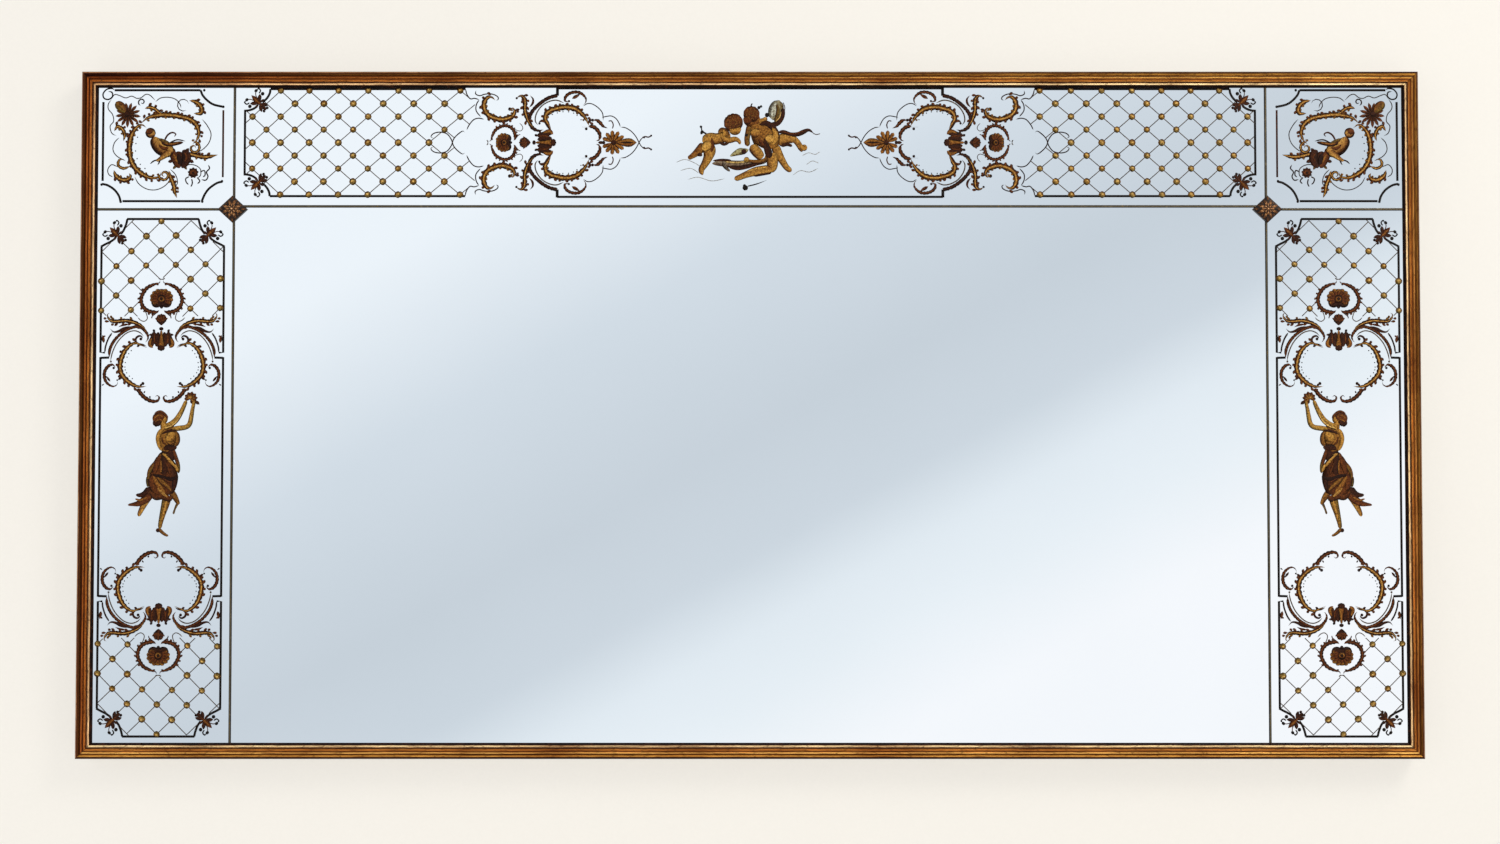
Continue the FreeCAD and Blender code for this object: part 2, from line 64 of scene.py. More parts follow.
HALF_WIDTH = reach("moulding_right", 0)
HALF_HEIGHT = reach("moulding_top", 2)
GLASS_FRONT = reach("pane_centre", 1, -1)
BEAD_X = (reach("bead_lower_right", 0) + reach("bead_lower_right", 0, -1)) / 2
CENTRE_BEAD_Z = (reach("bead_centre", 2) + reach("bead_centre", 2, -1)) / 2
SIDE_BEAD_Z = (reach("bead_side_left", 2) + reach("bead_side_left", 2, -1)) / 2


# ---- strokes: the drawing on the glass, in millimetres, x to the right and z up ----

def srgb(red, green, blue):
    """Linear colour of a finish that is known by its 0 to 255 screen values."""
    share = np.array([red, green, blue]) / 255
    return np.where(share <= 0.04045, share / 12.92, ((share + 0.055) / 1.055) ** 2.4)


FILM = 0.02  # the lowest strokes stand this far off the glass and reach this far into it
BORDER = 3.1  # width of the painted border lines
BLUNT = 0.03  # share of its rise at which a tapered stroke ends, so that no end is a bare point
INK = srgb(18, 11, 8)
FAINT_INK = srgb(84, 70, 56)
SOOT = srgb(34, 14, 6)
UMBER = srgb(66, 30, 10)
OLIVE = srgb(112, 90, 36)
OLIVE_GOLD = srgb(168, 142, 84)
SIENNA = srgb(110, 58, 20)
OCHRE = srgb(152, 104, 40)
GOLD = srgb(196, 150, 74)
PALE_GOLD = srgb(232, 196, 122)


def smooth(points, samples=6):
    """A curve through all the points: on each span the Catmull-Rom cubic
    (2b + (c-a)t + (2a-5b+4c-d)t^2 + (3b-a-3c+d)t^3) / 2 of the points a, b, c, d about it."""
    p = np.asarray(points, float)
    if len(p) == 2:
        return p
    p = np.vstack([2 * p[0] - p[1], p, 2 * p[-1] - p[-2]])
    a, b, c, d = (p[i:len(p) - 3 + i, None, :] for i in range(4))
    t = (np.arange(samples) / samples)[None, :, None]
    curve = (2 * b + (c - a) * t + (2 * a - 5 * b + 4 * c - d) * t ** 2
             + (3 * b - a - 3 * c + d) * t ** 3) / 2
    return np.vstack([curve.reshape(-1, p.shape[1]), p[-2]])


def curl(centre, radius, start, turns, shrink=0.75, samples=12):
    """A spiral into its eye: the angle grows evenly from start, in degrees, through the given
    turns, and the radius falls from its first value by the given share."""
    t = np.linspace(0, 1, max(4, int(abs(turns) * samples)))
    angle = np.radians(start) + 2 * np.pi * turns * t
    reach = radius * (1 - shrink * t)
    return np.column_stack([centre[0] + reach * np.cos(angle), centre[1] + reach * np.sin(angle)])


def mark(path, left, right, tint, shade=None, lift=0.12, level=0.0):
    """What every stroke is: a path, its half widths on the left and right of it, the two sides'
    colours, how far its middle domes up and how far it lies above the glass."""
    tint = np.asarray(tint)
    return {"path": np.asarray(path, float), "left": left, "right": right, "tint": tint,
            "shade": tint if shade is None else np.asarray(shade), "lift": lift, "level": level}


def stroke(path, width, tint, taper=(0.3, 0.3), shade=None, lift=0.12, level=0.0, lobes=0,
           lobe_depth=0.3):
    """One brush stroke along a path.

    Its half width is width/2 times a taper that rises as a sine from each end over the given
    share of the length; lobes scallop both sides as |sin|.
    tint is the colour on the left of the path and shade, if given, the one on the right.
    """
    path = np.asarray(path, float)
    step = np.hypot(*np.diff(path, axis=0).T)
    s = np.concatenate([[0], np.cumsum(step)])
    s = s / s[-1] if s[-1] > 0 else s
    rise = np.ones(len(path))
    for to_end, share in ((s, taper[0]), (1 - s, taper[1])):
        if share > 0:
            rise *= np.sin(np.pi / 2 * np.clip(to_end / share, BLUNT, 1))
    half = width / 2 * rise
    if lobes:
        half = half * (1 - lobe_depth * (1 - np.abs(np.sin(np.pi * lobes * s))))
    return mark(path, half, half, tint, shade, lift, level)


def line(points, width=BORDER, tint=INK):
    """A plain painted line of even width through its points, without smoothing."""
    return stroke(points, width, tint, (0, 0), lift=0.1)


def rule(points):
    """A painted border line through smoothed points."""
    return line(smooth(points))


def hair(points, width=1.0, tint=FAINT_INK):
    """A thin curved pen line."""
    return stroke(smooth(points), 1.25 * width, tint, (0.12, 0.12), lift=0.08)


def disc(centre, radius, tint, shade=None, stretch=1.0, turn=0.0, level=0.0, petals=0, depth=0.18):
    """A round or oval blob drawn as one fat stroke whose half width is the circle's chord;
    petals scallop its rim."""
    t = np.linspace(-1, 1, 15 if petals else 11)
    chord = np.sqrt(np.clip(1 - t ** 2, 0.0009, 1))
    axis = np.array([math.cos(math.radians(turn)), math.sin(math.radians(turn))])
    path = np.asarray(centre, float) + np.outer(t * radius, axis)
    half = chord * radius * stretch
    if petals:
        angle = np.arccos(t)
        half = half * (1 - depth + depth * np.abs(np.cos(petals / 2 * angle)))
    return mark(path, half, half, tint, shade, level=level)


def limb(stations, tint=OCHRE, shade=UMBER, level=0.0, round_off=0.14):
    """A full form, such as an arm or a fold: each station gives x, z and the width there, and the
    width closes as a quarter circle over the last share of each end."""
    p = smooth(stations, 5)
    s = np.linspace(0, 1, len(p))
    close = np.clip(np.minimum(s, 1 - s) / round_off, 0.02, 1)
    half = p[:, 2] / 2 * np.sqrt(1 - (1 - close) ** 2)
    return mark(p[:, :2], half, half, tint, shade, level=level)


def petal(root, angle, length, width, tint=OCHRE, shade=UMBER, level=0.0, tip=0.35):
    """A pointed petal from its root: a short straight stroke, widest past its middle; tip is the
    share of it that closes, small for a blunt one."""
    ray = np.array([math.cos(math.radians(angle)), math.sin(math.radians(angle))])
    path = np.asarray(root, float) + np.outer(np.linspace(0, length, 9), ray)
    return stroke(path, width, tint, (0.95 - tip, tip), shade, level=level)


def fan(root, angle, spread, count, length, width, tint=OCHRE, shade=UMBER, dip=0.25, level=0.0,
        tip=0.35):
    """Petals side by side over an arc; the outer ones are shorter by the share dip."""
    return [petal(root, angle + spread * t, length * (1 - dip * (2 * abs(t)) ** 1.5), width, tint, shade,
                  level, tip) for t in np.linspace(-0.5, 0.5, count)]


def moved(strokes, x, z):
    return [dict(s, path=s["path"] + np.array([x, z])) for s in strokes]


def quarter_turned(strokes):
    """The strokes turned a quarter anticlockwise about the origin."""
    return [dict(s, path=s["path"][:, ::-1] * np.array([-1, 1])) for s in strokes]


def resized(strokes, share, squash=1.0):
    """The strokes made smaller or larger about the origin, and flatter by squash."""
    return [dict(s, path=s["path"] * share * np.array([1, squash]), left=s["left"] * share,
                 right=s["right"] * share) for s in strokes]


def mirrored(strokes, across, up, axis):
    """Mirrored about an upright line, across -1, or a level line, up -1, at the axis. Each stroke has
    its sides and its two colours swapped, so its outside stays outside."""
    factor = np.array([across, up])
    return [dict(s, path=s["path"] * factor + axis * (1 - factor), left=s["right"], right=s["left"],
                 tint=s["shade"], shade=s["tint"]) for s in strokes]


def flipped_x(strokes):
    """The strokes mirrored left to right about the upright line x = 0."""
    return mirrored(strokes, -1, 1, 0)


def flipped_z(strokes, axis=0.0):
    """The strokes mirrored top to bottom about the level line z = axis."""
    return mirrored(strokes, 1, -1, axis)


def mirrored_pair(strokes):
    """The strokes and their mirror images about x = 0."""
    return strokes + flipped_x(strokes)


# ---- motifs ----

# The level middle line of the top panel and the corners, the upright one of the left side panel and
# the left corner, and the height at which a side panel's lower half mirrors its upper one.
TOP_AXIS = 366.0
SIDE_AXIS = -791.0
SIDE_MIDDLE = -84.75
LEAF_ROOT = 2.2  # how far out from a scroll's middle its leaves start


def scroll(points, width=4.0, tint=OCHRE, shade=SIENNA, taper=(0.2, 0.3), shine=True, samples=6):
    """A gilt scroll: a dark band with lobed edges, gold inside it, and a pale streak on its left."""
    path = smooth(points, samples)
    lobes = max(2, round(np.hypot(*np.diff(path, axis=0).T).sum() / (1.1 * width)))
    strokes = [stroke(path, width * 1.3, SOOT, taper, lobes=lobes),
               stroke(path, width * 0.7, tint, taper, shade, level=0.1, lobes=lobes, lobe_depth=0.2)]
    if shine:
        strokes.append(stroke(path, width * 0.24, GOLD, (0.45, 0.45), level=0.22))
    return strokes


def leafage(points, start, end, side=1, pitch=6.0, length=6.0, width=3.4, lean=38, tint=SIENNA):
    """Leaf tips at an even pitch along a part of a scroll, longer and shorter by turns, that
    start a little way out from its middle."""
    path = smooth(points, 6)
    run = np.hypot(*np.diff(path, axis=0).T).sum() * (end - start)
    count = max(2, round(run / pitch))
    leaves = []
    for i in range(count):
        point, turn = along(path, start + (end - start) * (i + 0.5) / count)
        leaves.append(petal(polar(point, LEAF_ROOT, turn + 90 * side), turn + side * (lean + 16 * (i % 2)), 
                            length * (1 - 0.3 * (i % 2)), width, tint, SOOT, 0.16))
    return leaves


def polar(centre, distance, angle):
    """The point at a distance from a centre, in a direction in degrees."""
    turn = math.radians(angle)
    return np.array([centre[0] + distance * math.cos(turn), centre[1] + distance * math.sin(turn)])


def along(path, share):
    """The point a share of the way along a path, and the direction of the path there."""
    i = int(round(share * (len(path) - 1)))
    step = path[min(i + 1, len(path) - 1)] - path[max(i - 1, 0)]
    return path[i], math.degrees(math.atan2(step[1], step[0]))


def thorns(points, shares, length, width, lean):
    """Leaf tips that leave a scroll on its left, leaning from its direction by an angle."""
    path = smooth(points, 6)
    places = [along(path, share) for share in shares]
    return [petal(point, turn + lean, length, width, UMBER, SOOT, 0.05) for point, turn in places]


def dots(points, shares, away, radius):
    """Small dots beside a curve, away from it by a distance to its left."""
    path = smooth(points, 6)
    places = [along(path, share) for share in shares]
    return [disc(polar(point, away, turn + 90), radius, INK) for point, turn in places]


def rosette(x, z, size=4.6, tint=OCHRE):
    """A gilt square flower where two trellis lines cross."""
    return [disc((x, z), size, SIENNA, OLIVE, petals=4, depth=0.14, turn=0, level=0.08),
            disc((x, z), size * 0.76, tint, OLIVE, petals=4, depth=0.2, turn=45, level=0.18),
            disc((x - 0.6, z + 0.6), size * 0.36, PALE_GOLD, GOLD, level=0.3)]


ROSETTE_CLEARANCE = 6
TRELLIS_LINE = 1.2


def lattice(x_at, z_at, columns, rows, inside, slope=0.0):
    """A trellis: nodes where column and row add up to an even number, and lines between nodes that
    touch at a corner, each cut to its part inside the panel. inside takes a point and how far
    from the panel's corners it must stay."""
    strokes = []
    cuts = np.linspace(0, 1, 41)[:, None]
    tones = (OLIVE_GOLD, OLIVE_GOLD, GOLD, OCHRE, OLIVE_GOLD)
    for k in columns:
        for r in rows:
            if (k + r) % 2:
                continue
            node, above, below = (np.array([x_at(k + i), z_at(r + j) + slope * (x_at(k + i) - x_at(0))])
                                  for i, j in ((0, 0), (1, -1), (1, 1)))
            for far in (above, below):
                run = node + cuts * (far - node)
                kept = run[[bool(inside(*p, 0)) for p in run]]
                if len(kept) > 3:
                    strokes.append(line(kept[[0, -1]], TRELLIS_LINE, FAINT_INK))
            if inside(*node, ROSETTE_CLEARANCE):
                strokes += rosette(*node, 4.4 + 0.25 * ((3 * k + 5 * r) % 3), tones[(7 * k + 3 * r) % 5])
    return strokes


def spray(x, z, turn):
    """A corner spray: a leaf bud with side leaves, and hair stems that end in dark dots."""
    def at(distance, angle):
        return polar((x, z), distance, turn + angle)

    strokes = []
    for angle, length, width in ((48, 12, 5.2), (-48, 12, 5.2), (150, 12, 4.8), (-150, 12, 4.8),
                                 (95, 8, 3.4), (-95, 8, 3.4), (0, 10, 7.6), (180, 13, 5)):
        strokes.append(petal(at(0.5, angle), turn + angle, length, width, UMBER, SOOT))
    strokes += [petal(at(6, 180), turn, 21, 6.4, SIENNA, UMBER, level=0.1),
                petal(at(2, 180), turn, 12, 2.2, OCHRE, SIENNA, level=0.24)]
    for side in (1, -1):
        tip = at(17.5, side * 30)
        strokes += [hair([at(8, side * 20), at(13, side * 22), tip], 1.0, UMBER),
                    disc(tip, 2.1, INK, stretch=1.2, turn=turn), disc(at(13.5, side * 64), 2.5, INK),
                    hair([at(6, side * 60), at(13.5, side * 64)], 1.0, UMBER),
                    disc(at(12.5, side * 166), 2.0, SOOT),
                    hair([at(13, side * 42), at(17, side * 50), at(20, side * 42),
                          at(18.4, side * 37)], 1.5, INK)]
    return strokes


def crest(share=1.0):
    """Shell in its ring, both at the given share of their size, then bud and tulip, pointing up,
    with the shell's middle at the origin."""
    ring = [(-2.2, 25), (-3.4, 21.4), (-11, 19), (-19.5, 14.6), (-25.4, 6.4), (-27.6, -1), (-26, -8.5),
            (-21, -14.6), (-14, -17.6), (-6.6, -18), (-3.2, -15.6)]
    left = scroll(ring, 4.6, UMBER, SIENNA, (0.3, 0.12), shine=False)
    left += leafage(ring, 0.3, 0.85, -1, 5.2, 4.4, 2.8, 30)
    left += thorns(ring, (0.16, 0.26), 4.59, 2.6, 150)
    left += [hair([(-5, -18), (-9, -21), (-12.5, -24), (-13, -27)], 1.2, UMBER),
             hair([(-23, -15), (-20, -21), (-19, -27), (-23, -30.5), (-28, -29), (-32, -25)]),
             hair([(-4, 28), (-2.5, 26.5), (0, 26)], 1.3, FAINT_INK)]
    shell = [disc((0, 1), 12.4, UMBER, SOOT), disc((-6.6, -6.6), 7.4, UMBER, SOOT, stretch=0.9),
             disc((6.6, -6.6), 7.4, UMBER, SOOT, stretch=0.9)]
    for i in range(11):
        angle = -38 + 25.6 * i
        reach = 11.4 - 1.6 * (i == 5) - 1.2 * (i in (0, 10))
        rim = polar((0, 1), reach, angle)
        shell += [disc(rim, 4.7, OCHRE, UMBER, stretch=0.74, turn=angle, level=0.12),
                  petal((0, 0), angle, reach + 3.0, 4.0, SIENNA, UMBER, level=0.24, tip=0.2),
                  stroke([0.3 * rim, 0.98 * rim], 1.1, SOOT, (0.2, 0.4), level=0.36)]
    shell += [disc((0, -0.5), 5.8, SOOT, UMBER, level=0.46),
              disc((0, -0.3), 3.9, SIENNA, OCHRE, level=0.56),
              disc((0, -0.2), 2.2, SOOT, level=0.66), disc((0, -13.4), 2.2, SOOT, level=0.1)]
    bud = [disc((0, -27.4), 7.2, UMBER, SOOT, petals=12), petal((0, -29), -90, 7, 6.4, UMBER, SOOT)]
    bud += fan((0, -31), 90, 120, 5, 11, 3.6, SIENNA, SOOT, 0.1, 0.12)
    bud.append(disc((0, -40.6), 2.5, SOOT, stretch=1.2, turn=90))
    lobe = [limb([(-9.6, -44.4, 4), (-10, -49, 7), (-11, -55, 9), (-13.6, -60.4, 9), (-12.4, -65.4, 6)],
                 UMBER, SOOT, 0.05),
            limb([(-12.8, -53, 2), (-15.4, -58.6, 4.4), (-15, -63, 4.6), (-11, -66, 2)], OCHRE, SIENNA,
                 0.17),
            limb([(-4, -45, 4), (-5, -52, 7), (-5.6, -59, 7.6), (-4, -65, 5)], SOOT, UMBER, 0.12),
            petal((-8.4, -46), 118, 5.4, 3.6, SOOT, SOOT), petal((-10, -48), 188, 7, 3, UMBER, SOOT),
            stroke(smooth([(-8.6, -48), (-9, -55), (-8, -61)]), 1.3, SIENNA, (0.3, 0.3), level=0.24)]
    tulip = [limb([(0, -43, 4), (0, -50, 3.4), (0, -56, 5), (0, -62, 8), (0, -65, 6)], OCHRE, SIENNA, 0.3),
             stroke([(0, -49), (0, -63)], 1.2, SOOT, (0.3, 0.2), level=0.42),
             disc((0, -66.6), 5.0, UMBER, SOOT, stretch=0.8, petals=8, level=0.42)]
    return (resized(mirrored_pair(left), share) + resized(shell, share, 0.84) + bud
            + mirrored_pair(lobe) + tulip)


def side_half():
    """The upper half of the left side panel without its trellis: drawn left of an axis at x = 0, then
    mirrored and moved into place."""
    left = [line([(-48.5, 262.4), (0, 262.4)]),
            rule([(-48, 262.4), (-49.5, 256), (-52.5, 248), (-56.5, 242)]),
            rule([(-65, 235.5), (-71, 231.5), (-77, 228.5), (-83.4, 225)]),
            line([(-82.5, 225), (-82.5, 82.2), (-76.6, 82.2)]),
            line([(-82.5, 75), (-70.8, 75.4)]), line([(-82.5, 76), (-82.5, SIDE_MIDDLE)]),
            hair([(-76.6, 82), (-75.8, 90), (-72, 101), (-67, 109)], 1.8, SOOT)]
    dark = [(-70.8, 75.4), (-70, 86), (-65, 97), (-56, 107), (-45, 114), (-35, 117),
            (-27, 115), (-21, 109), (-18.6, 103), (-20, 98.5), (-22.5, 96)]
    left += scroll(dark, 3.6, UMBER, SIENNA, (0.1, 0.2), shine=False)
    left += [hair([(-69, 70), (-66.5, 82), (-60, 96), (-49, 107.5), (-38, 111.5), (-29.5, 109),
                   (-24.5, 104)], 1.3), disc((-68.4, 70), 1.4, FAINT_INK)]
    leaf = [(-20, 109), (-25, 116), (-34, 121.5), (-47, 125), (-59, 124.3), (-67.5, 124.5),
            (-72.5, 129), (-73.5, 133.5), (-70.5, 135.5)]
    left += scroll(leaf, 5.0, SIENNA, UMBER, (0.4, 0.4))
    left += leafage(leaf, 0.1, 0.8, 1, 6.4, 6.6, 3.4, 34) + leafage(leaf, 0.25, 0.75, -1, 8, 6, 3.2, 34,
                                                                    OCHRE)
    left += [stroke(smooth([(-38, 117), (-51, 114.5), (-58, 111), (-65, 110), (-70, 114.5)]), 4.2,
                    UMBER, (0.3, 0.6), SOOT),
             stroke(smooth([(-45, 120.5), (-53, 119), (-59, 116.5)]), 3.0, UMBER, (0.3, 0.6)),
             disc((-66, 120), 1.3, SOOT), petal((-80, 106), -80, 11, 4.4, SIENNA, SOOT),
             petal((-80.5, 103), 20, 5, 2.6, SIENNA, SOOT)]
    eye = [(-28, 100), (-26.5, 102.5), (-29.5, 104.6), (-33.6, 103), (-35.4, 99.5), (-34.5, 96),
           (-31, 93.5), (-25, 92.6), (-20.5, 90.2)]
    left += [stroke(smooth(eye), 3.0, UMBER, (0.3, 0.3), SOOT), disc((-28.4, 100.4), 2.0, SOOT)]
    heart = [(-20, 88.6), (-26.5, 91.5), (-35, 95), (-41.5, 92.8), (-47.6, 87.5), (-52.2, 80),
             (-55.4, 70), (-56, 61), (-54, 53.5), (-49, 46.8), (-42, 40.8), (-34, 37),
             (-27, 36), (-20.5, 36.8)]
    left += scroll(heart, 6.2, OCHRE, SIENNA, (0.45, 0.3))
    left += leafage(heart, 0.12, 0.92, -1, 7.4, 6.6, 3.8, 32) + thorns(heart, (0.1, 0.5, 0.9), 5.4, 3.12,
                                                                       60)
    left += dots(heart, (0.28, 0.34, 0.4, 0.46, 0.52, 0.58, 0.64, 0.7, 0.76), 6.6, 0.85)
    left += [disc((-55.5, 51), 3.6, UMBER, SOOT, stretch=0.6, turn=60),
             petal((-52, 50), 215, 8, 3.2, UMBER, SOOT), disc((-25, 40.5), 2.1, SOOT)]
    tail = [(-32, 34), (-28.6, 28), (-23, 22), (-15.5, 17.6), (-8.5, 16.4), (-4, 18.4),
            (-3.2, 22.4), (-6, 24.2), (-8.4, 22)]
    left += scroll(tail, 4.8, SIENNA, UMBER, (0.05, 0.6), shine=False)
    left += [disc((-31, 31.5), 2.8, UMBER, SOOT, stretch=0.8), disc((-15.5, 22.3), 1.3, SOOT),
             petal((-24, 27), 60, 4, 2, UMBER, SOOT)]
    side = [(-62, 62), (-66, 65.8), (-71.6, 64), (-76, 58), (-77, 50.5), (-75, 43.5), (-70, 38.4),
            (-64.5, 36.6), (-60, 39), (-58.6, 43.6)]
    left += scroll(side, 4.0, UMBER, SIENNA, (0.25, 0.6), shine=False)
    left += [disc((-64.6, 61.4), 1.7, SOOT), petal((-75, 51), -52, 10, 3, UMBER, SOOT),
             disc((-59.6, 45), 1.2, SOOT), petal((-77, 40), 215, 4, 1.8, SOOT, SOOT)]
    whole = mirrored_pair(left) + moved(crest(), -1, 154.8) + spray(-61, 240.5, 135) + spray(61, 240.5, 45)
    return moved(whole, SIDE_AXIS, 0)


def side_inside(x, z, clear):
    """Where the side trellis may run: inside the border, clear of the corners and the ring."""
    off = abs(x - SIDE_AXIS)
    return (off < 82 + clear / 2 and z < 261.5 and z > 130 + 0.02 * off
            and math.hypot(82.5 - off, 262.4 - z) > 34 + 1.95 * clear
            and math.hypot(off, z - 155) > 28 + clear / 2)


def side_trellis():
    return lattice(lambda k: -793.2 + 20 * k, lambda r: 259.5 - 19.83 * r, range(-5, 6), range(0, 10),
                   side_inside, 0.022)


def top_inside(x, z, clear):
    """Where the top trellis may run, left of the cartouche's outline."""
    off = abs(z - TOP_AXIS)
    edge = np.interp(off, [0, 3.5, 13, 24, 32, 43, 51, 58, 72],
                     [-403, -401, -388, -380, -370, -370, -370, -378, -384])
    return (-680.5 < x < min(edge, -370 - 1.5 * clear) and off < 72
            and math.hypot(x + 682, 73 - off) > 30 + clear)


def top_trellis():
    return lattice(lambda k: -671.5 + 18.8 * k + 0.088 * k * k, lambda r: 436.4 - 17.62 * r,
                   range(-1, 16), range(0, 9), top_inside)


def top_quarter():
    """The upper half of the top panel's left part: border, scrolls and cartouche, above an axis at z = 0."""
    up = [line([(-647.5, 72.6), (-384, 72.6)]),
          rule([(-647.6, 72.6), (-648.5, 67), (-652, 60.5), (-658, 54.5)]),
          rule([(-665.5, 49), (-671, 45.5), (-677, 43.6), (-683, 43)]),
          line([(-681.6, 43), (-681.6, 0)]),
          line([(0, 73.6), (-260, 73.6), (-260, 64)])]
    outline = ([(-384, 72.6), (-382.4, 65.6), (-377.6, 59.4), (-372, 60), (-365.6, 58.2)],
               [(-365.6, 58.2), (-369.4, 51.5), (-369.6, 43), (-363.5, 35)],
               [(-359, 31.5), (-366, 33), (-373, 31), (-379, 24), (-382.4, 17)],
               [(-384.5, 13.5), (-388, 15.5), (-395, 10.5), (-400, 4.5), (-403, -4), (-408, -11),
                (-414, -13.6), (-421, -14), (-427.5, -12), (-430.5, -8), (-427, -5.6)],
               [(-370, 71), (-370.4, 66), (-365, 63.6), (-359, 65.4), (-352, 66.2), (-345.5, 65),
                (-340.6, 62), (-340, 58.6), (-343, 57.2)])
    up += [hair(points, 1.25, SOOT) for points in outline]
    thick = [(-260, 64), (-271, 61), (-281, 55), (-291, 46), (-296.8, 37), (-297.6, 28.5),
             (-294, 20.5), (-286.5, 16.2), (-278.5, 17.4)]
    up += scroll(thick, 4.4, UMBER, SOOT, (0, 0.2), shine=False) + [line([(-260, 74.4), (-260, 63.6)], 4)]
    up += [hair([(-251, 53.6), (-261, 57.4), (-271.5, 55.6), (-281.6, 49.2), (-288.4, 39),
                 (-289.8, 29.5), (-286, 23.5)], 1.4, FAINT_INK),
           stroke(smooth([(-285, 25.4), (-282.6, 29), (-277, 28.2), (-273, 22.4), (-268, 16)]), 3.4,
                  UMBER, (0.3, 0.2), SOOT), disc((-284.2, 26), 1.6, SOOT)]
    heart = [(-268.5, 16.6), (-271.6, 24), (-276, 31.5), (-275, 38.5), (-269.6, 43.4), (-261.6, 46),
             (-253, 47.8), (-244, 47.6), (-235.6, 45.4), (-228.4, 40.4), (-222.4, 33.4),
             (-218.8, 26.6), (-216.6, 22)]
    up += scroll(heart, 6.8, OCHRE, SIENNA, (0.3, 0.35))
    up += leafage(heart, 0.1, 0.95, 1, 6.4, 6.4, 3.8, 34) + leafage(heart, 0.1, 0.9, -1, 12, 4.6, 3, 40,
                                                                    OCHRE)
    up += dots(heart, (0.34, 0.42, 0.5, 0.58, 0.66, 0.74, 0.82), -6.0, 0.85)
    hook = [(-218, 22.4), (-210.4, 20.8), (-205, 15.6), (-202.4, 9.4), (-203.8, 3.8), (-208, 2)]
    up += scroll(hook, 4.6, SIENNA, UMBER, (0.15, 0.5), shine=False)
    up += [stroke([(-227, 21), (-213, 20.8)], 4.6, UMBER, (0.3, 0.3), SOOT), disc((-221, 18.6), 1.9, SOOT),
           petal((-219, 25), 60, 9, 4, UMBER, SOOT)]
    small = [(-244, 55.6), (-249.4, 56.4), (-249.4, 61.2), (-245, 66), (-238, 68.4), (-230.8, 68),
             (-225, 64.4), (-221.4, 59), (-222.4, 53.6), (-225.4, 51)]
    up += scroll(small, 3.8, UMBER, SIENNA, (0.25, 0.5), shine=False)
    up += [disc((-244.4, 56.2), 1.6, SOOT), petal((-229, 66), -150, 13, 4.6, SIENNA, SOOT)]
    up += [hair([(-225, 49.4), (-219.6, 52.8), (-212.7, 52.2), (-204.7, 47), (-199.2, 40), (-198, 30)],
                1.1, SOOT),
           hair([(-200, 34), (-194, 35.4), (-187, 36), (-180.5, 32.2), (-176.4, 25.4), (-175, 21)], 1.1,
                SOOT),
           hair([(-175, 21), (-168, 20), (-160, 15), (-154, 8), (-150, 0.6), (-146.6, -5),
                 (-142.6, -7.2)], 1.1, SOOT),
           hair([(-146, 6), (-142, 8), (-137, 7.4), (-133, 9.4)], 1.5, UMBER),
           disc((-133.4, 9.4), 1.4, SOOT), disc((-142.8, -7.2), 1.5, SOOT)]
    small_leaf = [(-212, 30), (-207, 30.4), (-202.2, 26.8), (-198, 22), (-192, 19.4)]
    up += scroll(small_leaf, 4.4, SIENNA, UMBER, (0.4, 0.6), shine=False)
    up += [hair([(-191.5, 29), (-187, 29.2), (-184.6, 24), (-185.8, 18.6)], 1.3, UMBER),
           disc((-212.4, 30.4), 2.0, SOOT)]
    band = [(-344, 57.4), (-349, 61.6), (-355, 60.6), (-359.2, 52.5), (-357.8, 43.5), (-352.6, 37),
            (-345, 33.2), (-335.6, 31.2), (-326.6, 32.8), (-320, 36.4), (-317.8, 42), (-320, 46.4),
            (-324.2, 46)]
    up += scroll(band, 6.8, OCHRE, SIENNA, (0.3, 0.3))
    up += leafage(band, 0.06, 0.86, -1, 7, 6.6, 4, 32) + leafage(band, 0.2, 0.9, 1, 9, 5, 3.2, 36, OCHRE)
    up += [disc((-324.2, 45.4), 2.4, SOOT), petal((-318.6, 43.5), 12, 8, 3.6, UMBER, SOOT)]
    leaf = [(-315, 60.6), (-309.6, 63.4), (-305, 60.4), (-303.6, 54), (-304, 45.4), (-301.8, 35.6),
            (-298, 26.6), (-291, 19.4)]
    up += scroll(leaf, 5.4, SIENNA, UMBER, (0.3, 0.45))
    up += leafage(leaf, 0.15, 0.85, 1, 8, 6.6, 3.6, 32) + leafage(leaf, 0.15, 0.85, -1, 8, 6.6, 3.6, 32)
    up += [disc((-315, 60.2), 1.6, SOOT),
           stroke(smooth([(-297, 64), (-293, 59), (-293.6, 53), (-298, 47.6)]), 3.2, UMBER, (0.6, 0.4))]
    return up


def top_left():
    """The top panel's left part, both halves, with what lies on its axis."""
    both = top_quarter()
    both += flipped_z(both)
    both += moved(quarter_turned(crest(0.83)), -332, 0)
    flower = fan((-185, 0), 0, 312, 11, 17.6, 5.4, OCHRE, SIENNA, 0.12, tip=0.16)
    flower += fan((-185, 0), 0, 283, 10, 13, 1.1, SOOT, SOOT, 0.1, 0.12)
    flower += [petal((-181, 0), 0, 28, 12, OCHRE, SIENNA, level=0.2),
               petal((-177, 0), 0, 20, 2.6, SOOT, SOOT, level=0.34),
               disc((-184, 0), 3.6, UMBER, SOOT, level=0.36, petals=8),
               petal((-196, 0), 180, 9, 4.4, UMBER, SOOT), disc((-197.6, 0), 2.4, SOOT)]
    both += flower + spray(-662.5, 53.5, 135) + spray(-662.5, -53.5, 225)
    return moved(both, 0, TOP_AXIS)


